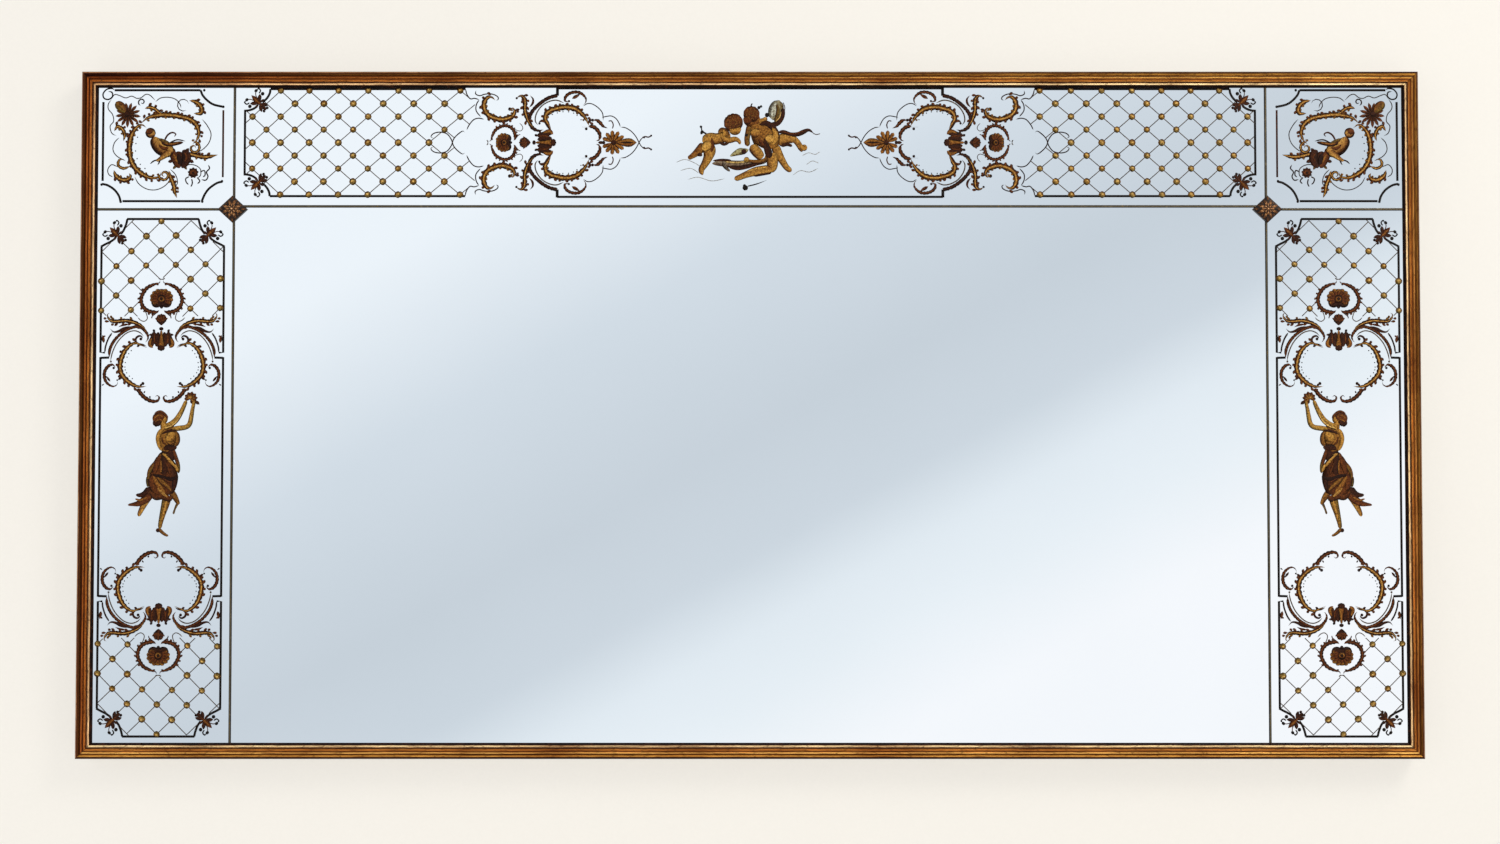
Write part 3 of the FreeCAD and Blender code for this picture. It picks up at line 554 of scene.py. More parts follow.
def corner_ornament():
    """The left corner square, drawn about its middle."""
    s = [line([(-67, 71), (49, 71)]), line([(-82, 55), (-82, -52)]),
         line([(80, 44), (80, -47)], 2.6, UMBER), line([(-55, -79.4), (50, -79.4)])]
    s += [rule(points) for points in (
        [(49, 71), (52, 64), (59, 56.5), (67, 51.5), (80, 48.4)],
        [(-83, -56), (-75, -58), (-66, -64), (-60, -72), (-57.6, -79.4)],
        [(79.5, -53), (72, -55), (62, -62), (56, -70), (52, -79.4)])]
    s += [disc(p, 1.8, INK) for p in ((54, 71), (80, 48.5), (-83.4, -57), (-57.4, -80.2),
                                      (79, -52.4), (52.6, -80))]
    s.append(hair([(-67, 71), (-71, 73.4), (-78, 72), (-82.6, 66), (-81, 60), (-75, 58.6),
                   (-70, 62.4), (-70.6, 68), (-76, 69.6)], 1.6, INK))
    s += fan((-49, 38), -50, 300, 12, 18, 4.4, SIENNA, UMBER, 0.1, tip=0.3)
    s += fan((-49, 38), -50, 300, 12, 12, 1.6, SOOT, SOOT, 0.1, 0.12)
    s += [limb([(-52, 41, 5), (-56, 46, 12), (-61, 51, 12), (-65, 55, 6)], OLIVE, SIENNA, 0.2),
          stroke([(-51, 40), (-63, 53)], 1.6, SOOT, (0.2, 0.3), level=0.34),
          disc((-50, 39), 3.6, UMBER, SOOT, level=0.36)]
    hairs = ([(-71, 59), (-67, 65), (-61, 64), (-52, 60.6), (-44, 63), (-37, 60), (-31, 61),
              (-25, 65.4), (-19, 64), (-12, 57)],
             [(-71, 59), (-75.4, 52), (-75, 45), (-69.5, 38), (-68, 29), (-72.4, 23), (-72, 17),
              (-69.6, 12), (-64, 9)],
             [(-12, 55), (-5, 60.4), (6, 61.4), (15.5, 58.6), (21.4, 52), (23, 46.4)],
             [(-39, -46), (-34, -55), (-26.5, -61), (-18, -64), (-8, -63.6), (2, -58.6), (11, -49)],
             [(51, 32), (58, 23.6), (63.6, 12), (61, 0), (53, -9), (44, -14)],
             [(-60, 7), (-66.4, 0), (-68.4, -10), (-63, -18.5), (-51, -25)],
             [(9, -36), (16.4, -44), (19, -54), (15.6, -61), (14, -67), (18, -73)],
             [(-62, -33), (-70, -30), (-75, -36), (-74, -43), (-68, -47)],
             [(26, -35), (34, -30), (43, -31), (49.6, -36), (50, -44), (45.4, -49)])
    s += [hair(points, 1.05, srgb(52, 42, 36)) for points in hairs]
    s += [stroke(curl((-30, 55), 5.4, 250, -1.2, 0.8), 1.9, SOOT, (0.1, 0.3)),
          stroke(curl((26, 51), 8.4, -60, -0.8, 0.1), 1.4, SOOT, (0.1, 0.3)),
          *scroll(curl((41, -7.4), 8.6, 100, -1.35, 0.85), 3.4, OCHRE, UMBER, (0.15, 0.4), samples=2),
          *scroll(curl((1, -44), 8.0, 160, 1.4, 0.85), 3.4, OCHRE, UMBER, (0.15, 0.4), samples=2)]
    scrolls = (([(-26, 46), (-20, 47.6), (-13, 46), (-6.4, 40.6), (-1, 38.6)], 4.6),
               ([(34, 57), (42, 55.4), (48.6, 50.4), (51, 44), (48, 39.4), (40, 39.6)], 6.0),
               ([(-31, 26), (-23.5, 32.6), (-13, 36), (0, 37.6), (13, 36.6), (26, 34.4),
                 (37, 30.4), (44.4, 22.6), (47.2, 12.4), (44.4, 3.4), (38.6, -2.2)], 6.6),
               ([(-23.6, 20), (-29.6, 24), (-36.4, 21), (-42, 13.6), (-45.6, 2), (-46.4, -12),
                 (-43.6, -25), (-36.6, -36.4), (-26, -44.4), (-15, -48), (-6, -46.4), (-3, -39.6)], 6.8),
               ([(-67, -37.4), (-64, -45.2), (-56.4, -50.4), (-48.6, -50.2), (-44.4, -46), (-46.6, -41.4)],
                6.0),
               ([(-67, 15.4), (-62.6, 21.6), (-56, 18), (-52.8, 10), (-54.6, 2)], 4.6),
               ([(23, -18.4), (34, -15.6), (46, -18.4), (58, -19.6), (73, -16.6)], 5.6),
               ([(-45, -32), (-54, -35), (-61, -31), (-60, -24), (-54, -22.4)], 3.6),
               ([(7, -38), (10, -48), (14, -58), (15.4, -67), (18.4, -75)], 5.4))
    for points, width in scrolls:
        s += scroll(points, width, OCHRE, SIENNA, (0.3, 0.35))
    for i, start, end, side in ((0, 0.1, 0.8, 1), (1, 0.1, 0.7, 1), (2, 0.04, 0.96, 1), (3, 0.06, 0.94, -1),
                                (4, 0.1, 0.8, -1), (5, 0.1, 0.8, 1), (6, 0.1, 0.8, 1), (8, 0.1, 0.8, 1)):
        s += leafage(scrolls[i][0], start, end, side, 6.6, 6.2, 3.8, 32)
        s += leafage(scrolls[i][0], start, end, -side, 11, 4.6, 3.2, 36, OCHRE)
    s += dots(scrolls[3][0], (0.3, 0.38, 0.46, 0.54, 0.62, 0.7), 8.4, 0.9)
    s += [limb([(10.6, -11.4, 7), (13.4, -17, 11), (16, -23, 11), (18.4, -29, 9), (22, -34.4, 5)],
               SIENNA, UMBER, 0.3),
          limb([(25.4, -10.6, 6), (29.6, -15, 11), (31, -21, 12), (29, -28, 10), (24.6, -34.4, 5)],
               UMBER, SOOT, 0.36),
          limb([(19, -12, 9), (20.4, -19, 15), (22, -26, 17), (22.6, -33, 10)], UMBER, SOOT, 0.24),
          limb([(19.6, -16, 4), (21.4, -23, 7), (22.4, -30, 5)], SOOT, SOOT, 0.48),
          limb([(13, -16, 2.4), (16, -21.6, 4.4), (19, -28, 2.4)], OCHRE, SIENNA, 0.42),
          limb([(28, -14, 2), (30.6, -20, 4), (28, -26, 2)], SIENNA, SOOT, 0.48),
          petal((14, -24), 196, 8.4, 4.6, UMBER, SOOT, level=0.2),
          petal((32, -23), -24, 9.6, 5, UMBER, SOOT, level=0.2),
          petal((16, -14), 128, 8, 4.6, UMBER, SOOT, level=0.2),
          petal((29, -14), 52, 8, 4.6, UMBER, SOOT, level=0.2),
          petal((18, -30), 228, 8, 3.6, OLIVE, UMBER, level=0.2),
          petal((27, -30), -58, 8, 3.6, OLIVE, UMBER, level=0.2)]
    s += fan((40, -41), 90, 320, 9, 7.6, 4.6, UMBER, SOOT, 0.0)
    s += [disc((40, -41), 4.6, SIENNA, UMBER, level=0.14, petals=8), disc((40, -41), 1.8, SOOT, level=0.26),
          *[hair(points, 1.4, SOOT) for points in (
              [(35, -46), (30, -49), (31, -54), (34, -57)], [(45, -47), (49, -52), (46, -56)],
              [(38, -49), (39, -55), (37, -60)], [(49, -40), (55, -38), (56, -44), (53, -47)],
              [(51, -50), (57, -51), (60, -46), (58, -40), (62, -35), (60, -30)])]]
    return moved(s, SIDE_AXIS, TOP_AXIS)


def corner_figure():
    """A small seated winged child with a reed pipe, on the corner's scrollwork."""
    skin = dict(tint=GOLD, shade=SIENNA)
    s = [limb([(-14, 8, 7), (-11, 1, 16), (-4, -6, 21), (5, -10.6, 20), (14, -13, 11)],
              UMBER, SOOT, 0.42),
         limb([(-13, 8, 5), (-10, 1.4, 13), (-3.6, -5, 17), (5, -9.6, 16), (13, -12, 9)],
              **skin, level=0.54),
         limb([(-6, 5, 3), (2, 0.6, 6), (9, -4, 5)], OLIVE, UMBER, 0.66),
         limb([(9, -12, 10), (2, -17, 8), (-5, -22.4, 5), (-10, -25, 3.4)], **skin, level=0.66),
         stroke(smooth([(-9, -23.4), (-14, -25.4), (-18, -29)]), 1.6, SOOT, (0.1, 0.4), level=0.66),
         stroke(smooth([(-4, -21.4), (-6, -27), (-8, -30.4)]), 1.6, SOOT, (0.1, 0.4), level=0.66),
         limb([(-3, 0, 4), (6, -3, 5), (16, -1.4, 5), (26, 0.4, 3)], UMBER, SOOT, 0.72),
         limb([(1, -1.4, 2), (10, -2.2, 2.6), (21, 0, 2)], OCHRE, SIENNA, 0.84),
         stroke(smooth([(4, -3), (17, 3.6), (29, 2)]), 1.6, SOOT, (0.1, 0.2), level=0.8),
         stroke(smooth([(1, 3), (5, 10), (11, 13.6), (16, 11.6), (14, 8)]), 2.0, UMBER,
                (0.1, 0.3), level=0.72),
         disc((-18, 13), 7.0, UMBER, SOOT, level=0.6), disc((-17, 12), 5.2, GOLD, SIENNA, level=0.7),
         disc((-19.6, 15), 4.6, SIENNA, UMBER, level=0.8, petals=8),
         limb([(-7, -3, 2), (0, -8, 4.4), (7, -7, 3)], SIENNA, UMBER, 0.78)]
    return moved(s, SIDE_AXIS, TOP_AXIS)


FLESH = srgb(196, 146, 66)
FLESH_SHADE = srgb(112, 66, 24)


def dancer():
    """A dancing figure in a short draped dress, seen in profile, arms raised with a posy."""
    flesh = dict(tint=FLESH, shade=FLESH_SHADE)
    s = [limb([(-10, -104, 12), (-17, -113, 10.5), (-23, -124, 8), (-27.4, -133, 6), (-29, -138, 4)],
              level=0.0, **flesh),
         limb([(-15, -99, 8), (-20, -107, 9), (-27, -109.5, 6), (-33, -109, 3.4)], UMBER, SOOT),
         limb([(-12, -107, 10), (-20, -115, 11), (-29, -120.5, 8), (-38, -122, 4.4), (-43.5, -122.6, 3)],
              SIENNA, UMBER, 0.12),
         limb([(-18, -112, 3), (-27, -116, 3), (-34, -114.4, 2)], OCHRE, SIENNA, 0.24),
         limb([(13, -104, 9), (18, -110, 8.6), (22.6, -118, 6), (24.4, -122.4, 4)], OCHRE, UMBER, 0.12),
         limb([(22.6, -121, 4), (19.6, -128, 2.6), (17.4, -135, 3)], OLIVE, UMBER, 0.12),
         limb([(-17.6, -84, 3), (-17.8, -91, 4), (-16.6, -99, 3)], OLIVE, SOOT, 0.0),
         limb([(9.4, -110, 13), (6.6, -122, 11), (3.4, -134, 8.4), (0.6, -146, 6.2), (-0.8, -155, 5)],
              OCHRE, OLIVE, 0.12),
         limb([(8.4, -116, 4), (5.4, -128, 4), (2, -142, 2.6)], FLESH, OCHRE, 0.24),
         disc((-3, -156.6), 2.8, UMBER, SOOT, level=0.2),
         limb([(-1.6, -155, 5), (3, -159.6, 4.4), (7.6, -162.8, 3.6), (11, -164, 2.4)], OCHRE,
              UMBER, 0.24)]
    s += [limb([(7, -50, 13), (5.6, -60, 22), (4, -72, 34), (3, -84, 41), (3, -94, 39),
                (3, -103, 33), (3, -110, 26)], UMBER, SIENNA, 0.24, 0.1),
          limb([(-15, -104, 3), (-7, -112, 8), (2, -111, 9), (11, -114, 9), (16, -112, 4)], SIENNA,
               SOOT, 0.3),
          limb([(-8, -81, 3), (-12.4, -88, 9), (-11.6, -96, 9), (-9, -103, 5)], SIENNA, UMBER, 0.36),
          limb([(-10, -84, 3), (-6.6, -91, 6.4), (-1, -99, 7), (6, -106, 4)], OCHRE, SIENNA, 0.42),
          limb([(-5, -85, 2.4), (2, -92, 6), (10, -99, 5), (14.4, -104, 2.4)], OCHRE, UMBER, 0.48),
          limb([(-4, -100, 2.4), (2, -106.4, 5), (9, -112, 3)], GOLD, SIENNA, 0.48),
          limb([(2, -86, 2), (8, -90, 3.6), (14, -93, 2)], SIENNA, SOOT, 0.5),
          limb([(17, -86, 3), (18.6, -94, 5.4), (17, -102, 4)], UMBER, SOOT, 0.42),
          limb([(-10, -82.4, 3.4), (1, -84.6, 4.6), (13, -88, 5), (23.6, -84.6, 3)], SOOT, SOOT, 0.54),
          limb([(1, -54, 5), (-6, -65, 6), (-12.6, -73, 6), (-16, -80, 4.4), (-16.8, -88, 3)],
               OLIVE, SIENNA, 0.42),
          limb([(-0.4, -56, 6), (-5, -66, 9), (-8, -76, 7.4), (-8, -81.6, 4)], SIENNA, UMBER, 0.48),
          limb([(3, -58, 5), (4, -67, 10), (4.6, -76, 10), (5, -82, 6)], UMBER, SOOT, 0.54),
          limb([(0, -62, 1.6), (0.6, -71, 3), (0.4, -80, 2)], OCHRE, SIENNA, 0.66),
          limb([(7, -66, 2), (10, -74, 4), (13, -82, 2.6)], SIENNA, SOOT, 0.66),
          limb([(17.6, -53, 4), (21, -61, 5), (23.4, -70, 5), (24, -80, 4)], OLIVE, UMBER, 0.54),
          limb([(2, -53.6, 3), (8, -57.6, 5), (14, -65, 5), (20, -71, 4.6), (23, -78, 3.4)],
               GOLD, OCHRE, 0.7),
          limb([(7, -55, 1.4), (14, -61, 1.8), (20, -68.6, 1.4)], SOOT, SOOT, 0.82)]
    s += [limb([(11, -42, 12), (10.4, -50, 17), (9.4, -57, 20), (8, -63, 16)], UMBER, SOOT, 0.48),
          limb([(16, -46, 3), (18.4, -54, 5), (21, -62, 5), (23, -70, 3)], SIENNA, UMBER, 0.6),
          limb([(9, -51, 13), (8, -44, 19), (8, -36, 25), (9, -29, 28), (8.4, -22, 22),
                (6, -16, 14)], OCHRE, FLESH_SHADE, 0.54, 0.1),
          limb([(1.4, -50, 4), (-2.6, -42, 5), (-4, -33, 6), (-1.4, -25, 6), (4, -20, 4.4)],
               FLESH, OCHRE, 0.66),
          limb([(3.6, -48, 4), (10, -45.4, 8), (17, -46, 6.6), (20.4, -43, 4)], SOOT, UMBER, 0.72),
          limb([(19.4, -44, 4.6), (22.4, -37, 6), (22.2, -29, 5), (19.4, -24, 3.4)], OCHRE, UMBER, 0.72),
          disc((13, -31), 8.0, FLESH, OCHRE, stretch=0.8, turn=50, level=0.76),
          limb([(7, -36, 2), (12, -40, 4), (18, -38.4, 3)], OCHRE, UMBER, 0.86),
          limb([(1.6, -27.4, 2), (8, -24, 3.4), (15, -22.6, 4), (21, -21.4, 4.4)], UMBER, SOOT, 0.86),
          limb([(1.4, -31, 1.8), (3, -38.4, 2.4), (7.6, -42.4, 2)], SIENNA, SOOT, 0.86)]
    s += [limb([(15.4, -20.6, 6.4), (24.6, -19.6, 7), (33.6, -18, 6.4), (38.4, -13.4, 6.2),
                (40.6, -3, 5.6), (42.4, 8, 4.6), (44.6, 17.4, 4)], FLESH, OLIVE, 0.86, 0.08),
          limb([(2, -18.6, 9), (11, -15.6, 8), (19.6, -9, 7.2), (25.6, 0, 6.2), (30, 9, 5.2),
                (33.6, 18, 4.4)], FLESH, OLIVE, 0.98, 0.08),
          limb([(5.4, -19.6, 2), (14, -16.6, 2), (22, -9.6, 1.8), (27.4, 0, 1.4)], PALE_GOLD, FLESH, 1.1),
          limb([(2.6, -11.6, 7.4), (3.4, -17, 8.6), (4.4, -21, 9)], FLESH, OCHRE, 0.98),
          disc((3.6, -7.6), 6.0, FLESH, OCHRE, stretch=0.84, turn=78, level=1.0),
          disc((-3, -6), 8.8, SIENNA, UMBER, stretch=0.94, turn=30, petals=9, depth=0.1, level=1.06),
          disc((-6, -12.6), 5.2, UMBER, SOOT, petals=7, level=1.1),
          limb([(-9, 0, 2.4), (-1.4, 2.6, 4), (5.4, -1.4, 3.4), (8.6, -6.4, 2.6)], SIENNA, SOOT, 1.16),
          limb([(-9.6, -7, 1.4), (-3, -2.4, 2), (3, -5, 1.4)], OCHRE, SIENNA, 1.2),
          limb([(-8, -11, 1.2), (-2, -8, 1.8), (2, -10, 1.2)], OCHRE, SIENNA, 1.2)]
    s += fan((39.4, 20.4), 60, 250, 8, 9.6, 5.2, SIENNA, SOOT, 0.1, 0.7)
    s += fan((39.4, 20.4), 60, 220, 6, 6.2, 3.6, OCHRE, UMBER, 0.0, 0.82)
    s += [disc((39, 21), 2.4, GOLD, SIENNA, level=0.94),
          petal((44, 18), -38, 9, 4.4, UMBER, SOOT, level=0.7)]
    return moved(s, SIDE_AXIS, 0)


def cherubs():
    """Two winged children at play on the middle of the top panel, with a tambourine."""
    flesh = dict(tint=FLESH, shade=FLESH_SHADE)
    warm = dict(tint=OCHRE, shade=SIENNA)
    s = [hair(points, 0.7, srgb(168, 168, 166)) for points in (
        [(-100, -27), (-88, -23), (-76, -27), (-66, -33)], [(-94, -38), (-80, -35), (-68, -42)],
        [(-84, -50), (-70, -47), (-52, -52), (-34, -49)], [(58, -44), (68, -38), (80, -40), (92, -35)],
        [(70, -18), (79, -14), (88, -16), (95, -12)], [(76, -30), (84, -25), (93, -28)])]
    s += [limb([(-61, -2, 13), (-67, -9, 12), (-74, -15.4, 9), (-80, -19.6, 6.4), (-83.6, -21.4, 5.6)],
               level=0.0, **warm),
          limb([(-66, -14, 4), (-70, -16, 5), (-64, -17, 4)], UMBER, SOOT),
          limb([(-64, 0.6, 12), (-55, 4.6, 17), (-45, 5, 15.4), (-35, 7.4, 14), (-27, 12, 11)],
               level=0.12, **flesh),
          limb([(-59, -3.4, 19), (-55, -11, 18), (-56.6, -20, 13), (-61, -29, 10), (-65.6, -37, 8),
                (-64, -44, 5)],
               level=0.24, **flesh),
          limb([(-52, 5.6, 3), (-50, -4, 4.4), (-52.4, -13, 3.4)], UMBER, SIENNA, 0.36),
          disc((-58.6, -5), 7.4, GOLD, FLESH, level=0.36, stretch=0.9, turn=40),
          limb([(-38.6, 7, 8), (-29, 3, 8), (-20, 4.6, 7), (-15, 2, 5), (-13.4, -2.4, 4)],
               level=0.36, **flesh),
          limb([(-41, 0, 3), (-35, -2.4, 4), (-28, 0, 2.6)], UMBER, SOOT, 0.3),
          limb([(-43, 13, 3), (-38, 17, 7), (-32, 13.6, 8), (-29.6, 8.6, 4)], UMBER, OCHRE, 0.42),
          limb([(-36, 8, 4), (-34, 13, 6), (-36, 17, 3)], FLESH, OCHRE, 0.5),
          disc((-20.4, 18), 8.6, FLESH, OCHRE, level=0.54, stretch=0.92),
          disc((-22.4, 27), 13.2, SIENNA, UMBER, petals=14, depth=0.08, level=0.6, stretch=0.96, turn=20),
          limb([(-58, 11.4, 2.4), (-62, 13.4, 2.4), (-64.6, 14.6, 4), (-66, 11, 3)], INK, INK),
          hair([(-65, 15), (-65.4, 19), (-66, 21.6)], 1.4, INK), disc((-66.2, 21.4), 1.8, INK),
          disc((2.4, 31.6), 11.6, OCHRE, SIENNA, level=0.4, stretch=0.96),
          disc((2, 38.6), 11.2, SIENNA, UMBER, petals=13, depth=0.08, level=0.54, turn=-20),
          disc((-3.4, 29.6), 5.6, SIENNA, UMBER, level=0.56),
          hair([(1, 48), (2, 51.4), (3.4, 53)], 1.4, INK), disc((12, 47.4), 2.2, INK),
          disc((15, 49), 1.7, INK)]
    for row, (centre, count, reach) in enumerate((((-22.4, 27), 9, 9.4), ((-22.4, 27), 6, 5),
                                                  ((2, 39), 8, 7.8), ((2, 39), 5, 4))):
        for i in range(count):
            angle = 360 * i / count + 25 * row
            s.append(stroke(curl(polar(centre, reach, angle), 2.3, angle + 60, 0.7, 0.5, 14), 1.3, OCHRE,
                            (0.3, 0.4), UMBER, level=0.74))
    s += [limb([(56, 8, 9), (64, 0, 8.4), (69, -7.6, 8), (72.6, -10, 8)], level=0.0, **flesh),
          disc((73, -7), 4.4, FLESH, OCHRE, level=0.1),
          limb([(36, 0, 16), (45, 4.6, 16), (54, 5.6, 13.4), (60.6, 1.6, 9)], level=0.12, **flesh),
          limb([(42, -5, 4), (50, -2.4, 5), (57, -5, 3.4)], UMBER, SOOT, 0.18),
          limb([(33, -3, 13), (37.6, -14, 12), (43.6, -25, 9.6), (49.6, -34, 8), (56, -39, 7)], level=0.24,
               **flesh),
          limb([(37, 13.6, 3), (45, 14.4, 5.4), (55, 11, 5.6), (65, 11.4, 6), (72, 14.4, 6.4), (79, 17, 4),
                (85, 13.4, 2.4)], UMBER, SOOT, 0.18),
          limb([(44, 14.6, 1.6), (58, 11.6, 2), (72, 15.6, 2)], SIENNA, UMBER, 0.3),
          hair([(84, 13.6), (89, 11), (95, 12)], 1.0, FAINT_INK)]
    s += [disc((35, 44), 14.2, srgb(150, 148, 128), OLIVE, stretch=0.72, turn=72, level=0.1),
          disc((32.6, 44), 10.2, srgb(196, 198, 184), srgb(150, 150, 132), stretch=0.5, turn=76,
               level=0.22),
          limb([(36, 52, 3), (37.6, 44, 4.6), (36, 35, 4), (33, 28, 3)], OLIVE, UMBER, 0.34),
          limb([(44.6, 46.6, 5), (44, 38, 6.6), (40.6, 30, 7), (34.6, 25, 7), (28, 25.6, 5)], UMBER, SOOT,
               0.34),
          limb([(42, 42, 1.2), (39.6, 34, 2), (34.6, 28.6, 1.6)], PALE_GOLD, OCHRE, 0.46),
          hair([(44.6, 55), (47, 47), (45.6, 39)], 1.0, FAINT_INK),
          disc((23, 37.4), 3.0, INK, INK, level=0.4),
          limb([(12, 28, 8), (18, 30, 7), (23, 33.6, 5)], level=0.34, **flesh),
          limb([(0, 24, 9), (-2.4, 14, 8), (-4, 4, 7.6), (-3, -5, 7)], OLIVE, SIENNA, 0.3),
          disc((-4.6, 10), 2.0, INK, level=0.44),
          limb([(2, 22, 16), (10, 18, 30), (18, 12, 38), (24, 5, 35), (27, -3, 26), (28, -9, 16)],
               OCHRE, FLESH_SHADE, 0.36, 0.1),
          limb([(13, 24, 4), (21, 26, 7), (29, 22, 8), (35, 15, 7), (38, 8, 5)], UMBER, SOOT, 0.44),
          limb([(30, 20, 3), (34, 12, 8), (33, 3, 9), (29, -3, 4)], FLESH, OCHRE, 0.56),
          disc((7, 13), 6.4, FLESH, SIENNA, level=0.5), disc((27, 5), 6.4, GOLD, FLESH, level=0.66),
          limb([(12, 5, 3), (16, -1, 6), (20, -5, 4)], SIENNA, UMBER, 0.56),
          limb([(1, -4, 10), (7, -10, 14), (12.6, -17, 13), (16, -21.6, 9)], level=0.62, **flesh),
          limb([(-1, -9, 3), (6, -17, 4), (13, -23, 3)], UMBER, SOOT, 0.56),
          limb([(20, 6, 3), (22, -4, 8), (25, -14, 10), (27, -21, 7)], SOOT, UMBER, 0.62)]
    s += [limb([(-51, -28.4, 5), (-40, -28, 8), (-28, -29, 10), (-14, -29.4, 10), (2, -28, 9),
                (16, -26, 7), (24, -24, 5)],
               srgb(150, 134, 112), UMBER, 0.0),
          limb([(-50, -24.6, 2), (-38, -23.6, 3.6), (-25, -24.4, 3)], SOOT, UMBER, 0.12),
          limb([(-36, -27, 5), (-33.6, -33, 5), (-27, -39, 3)], srgb(120, 108, 92), SOOT, 0.12),
          limb([(-30, -32.6, 3), (-18, -34.6, 6), (-6, -33, 6), (8, -29, 5), (20, -25, 4)], SOOT, UMBER,
               0.18),
          limb([(-34, -26, 2), (-20, -27.4, 2.6), (-4, -26, 2)], PALE_GOLD, OLIVE, 0.24),
          limb([(28, -14, 17), (30, -24, 16), (29.6, -33, 14), (25, -38, 10)], level=0.5, **flesh),
          limb([(30, -36.4, 12), (19, -37.6, 13), (7, -39.4, 12), (-5, -43.4, 9), (-15, -47.6, 7.4),
                (-21, -49.6, 7)], level=0.62, **flesh),
          limb([(29, -41, 3), (18, -42.6, 4), (5, -45.4, 3)], SOOT, UMBER, 0.6),
          limb([(24, -33, 2.4), (10, -35, 3.4), (-4, -39.4, 2.4)], GOLD, FLESH, 0.74),
          limb([(22, -16, 3), (20.6, -23, 5), (10, -26, 5), (0, -25, 4), (-7, -24, 3)], UMBER, OCHRE, 0.5),
          disc((-4.6, -23.6), 4.0, FLESH, OLIVE, level=0.56),
          limb([(-27, -18.6, 2), (-21, -15.4, 6), (-14, -12.4, 9.4), (-8, -11.6, 8), (-2, -9.4, 3)],
               srgb(190, 188, 142), OLIVE, 0.2),
          disc((-8.4, -12.4), 3.6, UMBER, SOOT, level=0.32),
          disc((-6.4, -61.4), 3.8, INK, INK, petals=7), disc((-7.4, -58.6), 2.2, INK),
          stroke(smooth([(-4, -59.4), (6, -57), (14, -54.4), (23, -50.6)]), 1.7, INK, (0.1, 0.7),
                 level=0.05)]
    return moved(s, 0, TOP_AXIS)


# ---- from strokes to meshes ----

ACROSS = np.array([-1.0, -0.5, 0.0, 0.5, 1.0])  # places across a stroke, right edge to left edge
RING = len(ACROSS) + 1
FULL_WIDTH = 1.6  # a stroke narrower than this is domed less


def stroke_rings(s):
    """The stroke's cross-sections: five points over the dome lift * (1 - v^2), v from -1 at the
    right edge to 1 at the left, and one point under the middle, just inside the glass."""
    path = s["path"]
    along = np.gradient(path, axis=0)
    along /= np.maximum(np.hypot(*along.T), 1e-9)[:, None]
    side = np.column_stack([-along[:, 1], along[:, 0]])
    half = np.where(ACROSS > 0, s["left"][:, None], s["right"][:, None]) * ACROSS
    flat = path[:, None, :] + half[:, :, None] * side[:, None, :]
    fullness = np.clip((s["left"] + s["right"]) / FULL_WIDTH, 0.25, 1)[:, None]
    proud = FILM + s["level"] + s["lift"] * fullness * (1 - ACROSS ** 2)
    rings = np.empty((len(path), RING, 3))
    rings[:, :-1, 0], rings[:, :-1, 2] = flat[..., 0], flat[..., 1]
    rings[:, :-1, 1] = -proud
    rings[:, -1, 0], rings[:, -1, 2] = path[:, 0], path[:, 1]
    rings[:, -1, 1] = FILM
    return rings * MM + np.array([0, GLASS_FRONT, 0])


def ring_faces(stations, first):
    """Quads between neighbouring rings, and the two end faces, all facing outwards."""
    ring = np.arange(RING)
    i, j = np.meshgrid(np.arange(stations - 1), ring, indexing="ij")
    near, far = first + i * RING, first + (i + 1) * RING
    step = (j + 1) % RING
    quads = np.stack([near + j, far + j, far + step, near + step], axis=-1).reshape(-1, 4)
    ends = np.array([ring, ring[::-1] + (stations - 1) * RING]) + first
    return quads, ends


def piece_from_strokes(name, strokes, finish):
    """One mesh of many strokes, with each point's colour and its place across the brush mark."""
    points, quads, ends, tints, across = [], [], [], [], []
    first = 0
    share = np.append((ACROSS + 1) / 2, 0.5)[:, None]
    for s in strokes:
        rings = stroke_rings(s)
        stations = len(rings)
        body, caps = ring_faces(stations, first)
        tint = s["shade"] * (1 - share) + s["tint"] * share
        points.append(rings.reshape(-1, 3))
        quads.append(body)
        ends.append(caps)
        tints.append(np.tile(np.column_stack([tint, np.ones(RING)]), (stations, 1)))
        across.append(np.tile(np.append(ACROSS, 0.0), stations))
        first += stations * RING
    faces = np.vstack(quads).tolist() + np.vstack(ends).tolist()
    mesh = bpy.data.meshes.new(name)
    mesh.from_pydata(np.vstack(points).tolist(), [], faces)
    domed = np.arange(len(faces)) % RING < len(ACROSS) - 1
    domed[len(faces) - 2 * len(strokes):] = False
    mesh.polygons.foreach_set("use_smooth", domed)
    attribute(mesh, "tint", "FLOAT_COLOR", np.vstack(tints))
    attribute(mesh, "across", "FLOAT", np.concatenate(across))
    return finished(name, mesh, finish)


def attribute(mesh, name, kind, values):
    """Stores a colour or a number for each point of a mesh."""
    made = mesh.attributes.new(name, kind, "POINT")
    made.data.foreach_set("color" if kind == "FLOAT_COLOR" else "value", values.ravel())


def finished(name, mesh, finish, body="mirror"):
    """The mesh as a piece of the object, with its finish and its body."""
    mesh.materials.append(finish)
    piece = bpy.data.objects.new(name, mesh)
    bpy.context.scene.collection.objects.link(piece)
    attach(piece, body)
    return piece


# The carving's measures, in millimetres: how far its edge stands off the glass and its foot reaches
# behind the glass's face, the rise of its bevel over the outer share, its crown and its relief.
CARVING_EDGE, CARVING_FOOT = 2.75, 2.3
CARVING_BEVEL, BEVEL_SHARE, CARVING_CROWN, CARVING_RELIEF = 1.9, 0.28, 2.9, 0.55


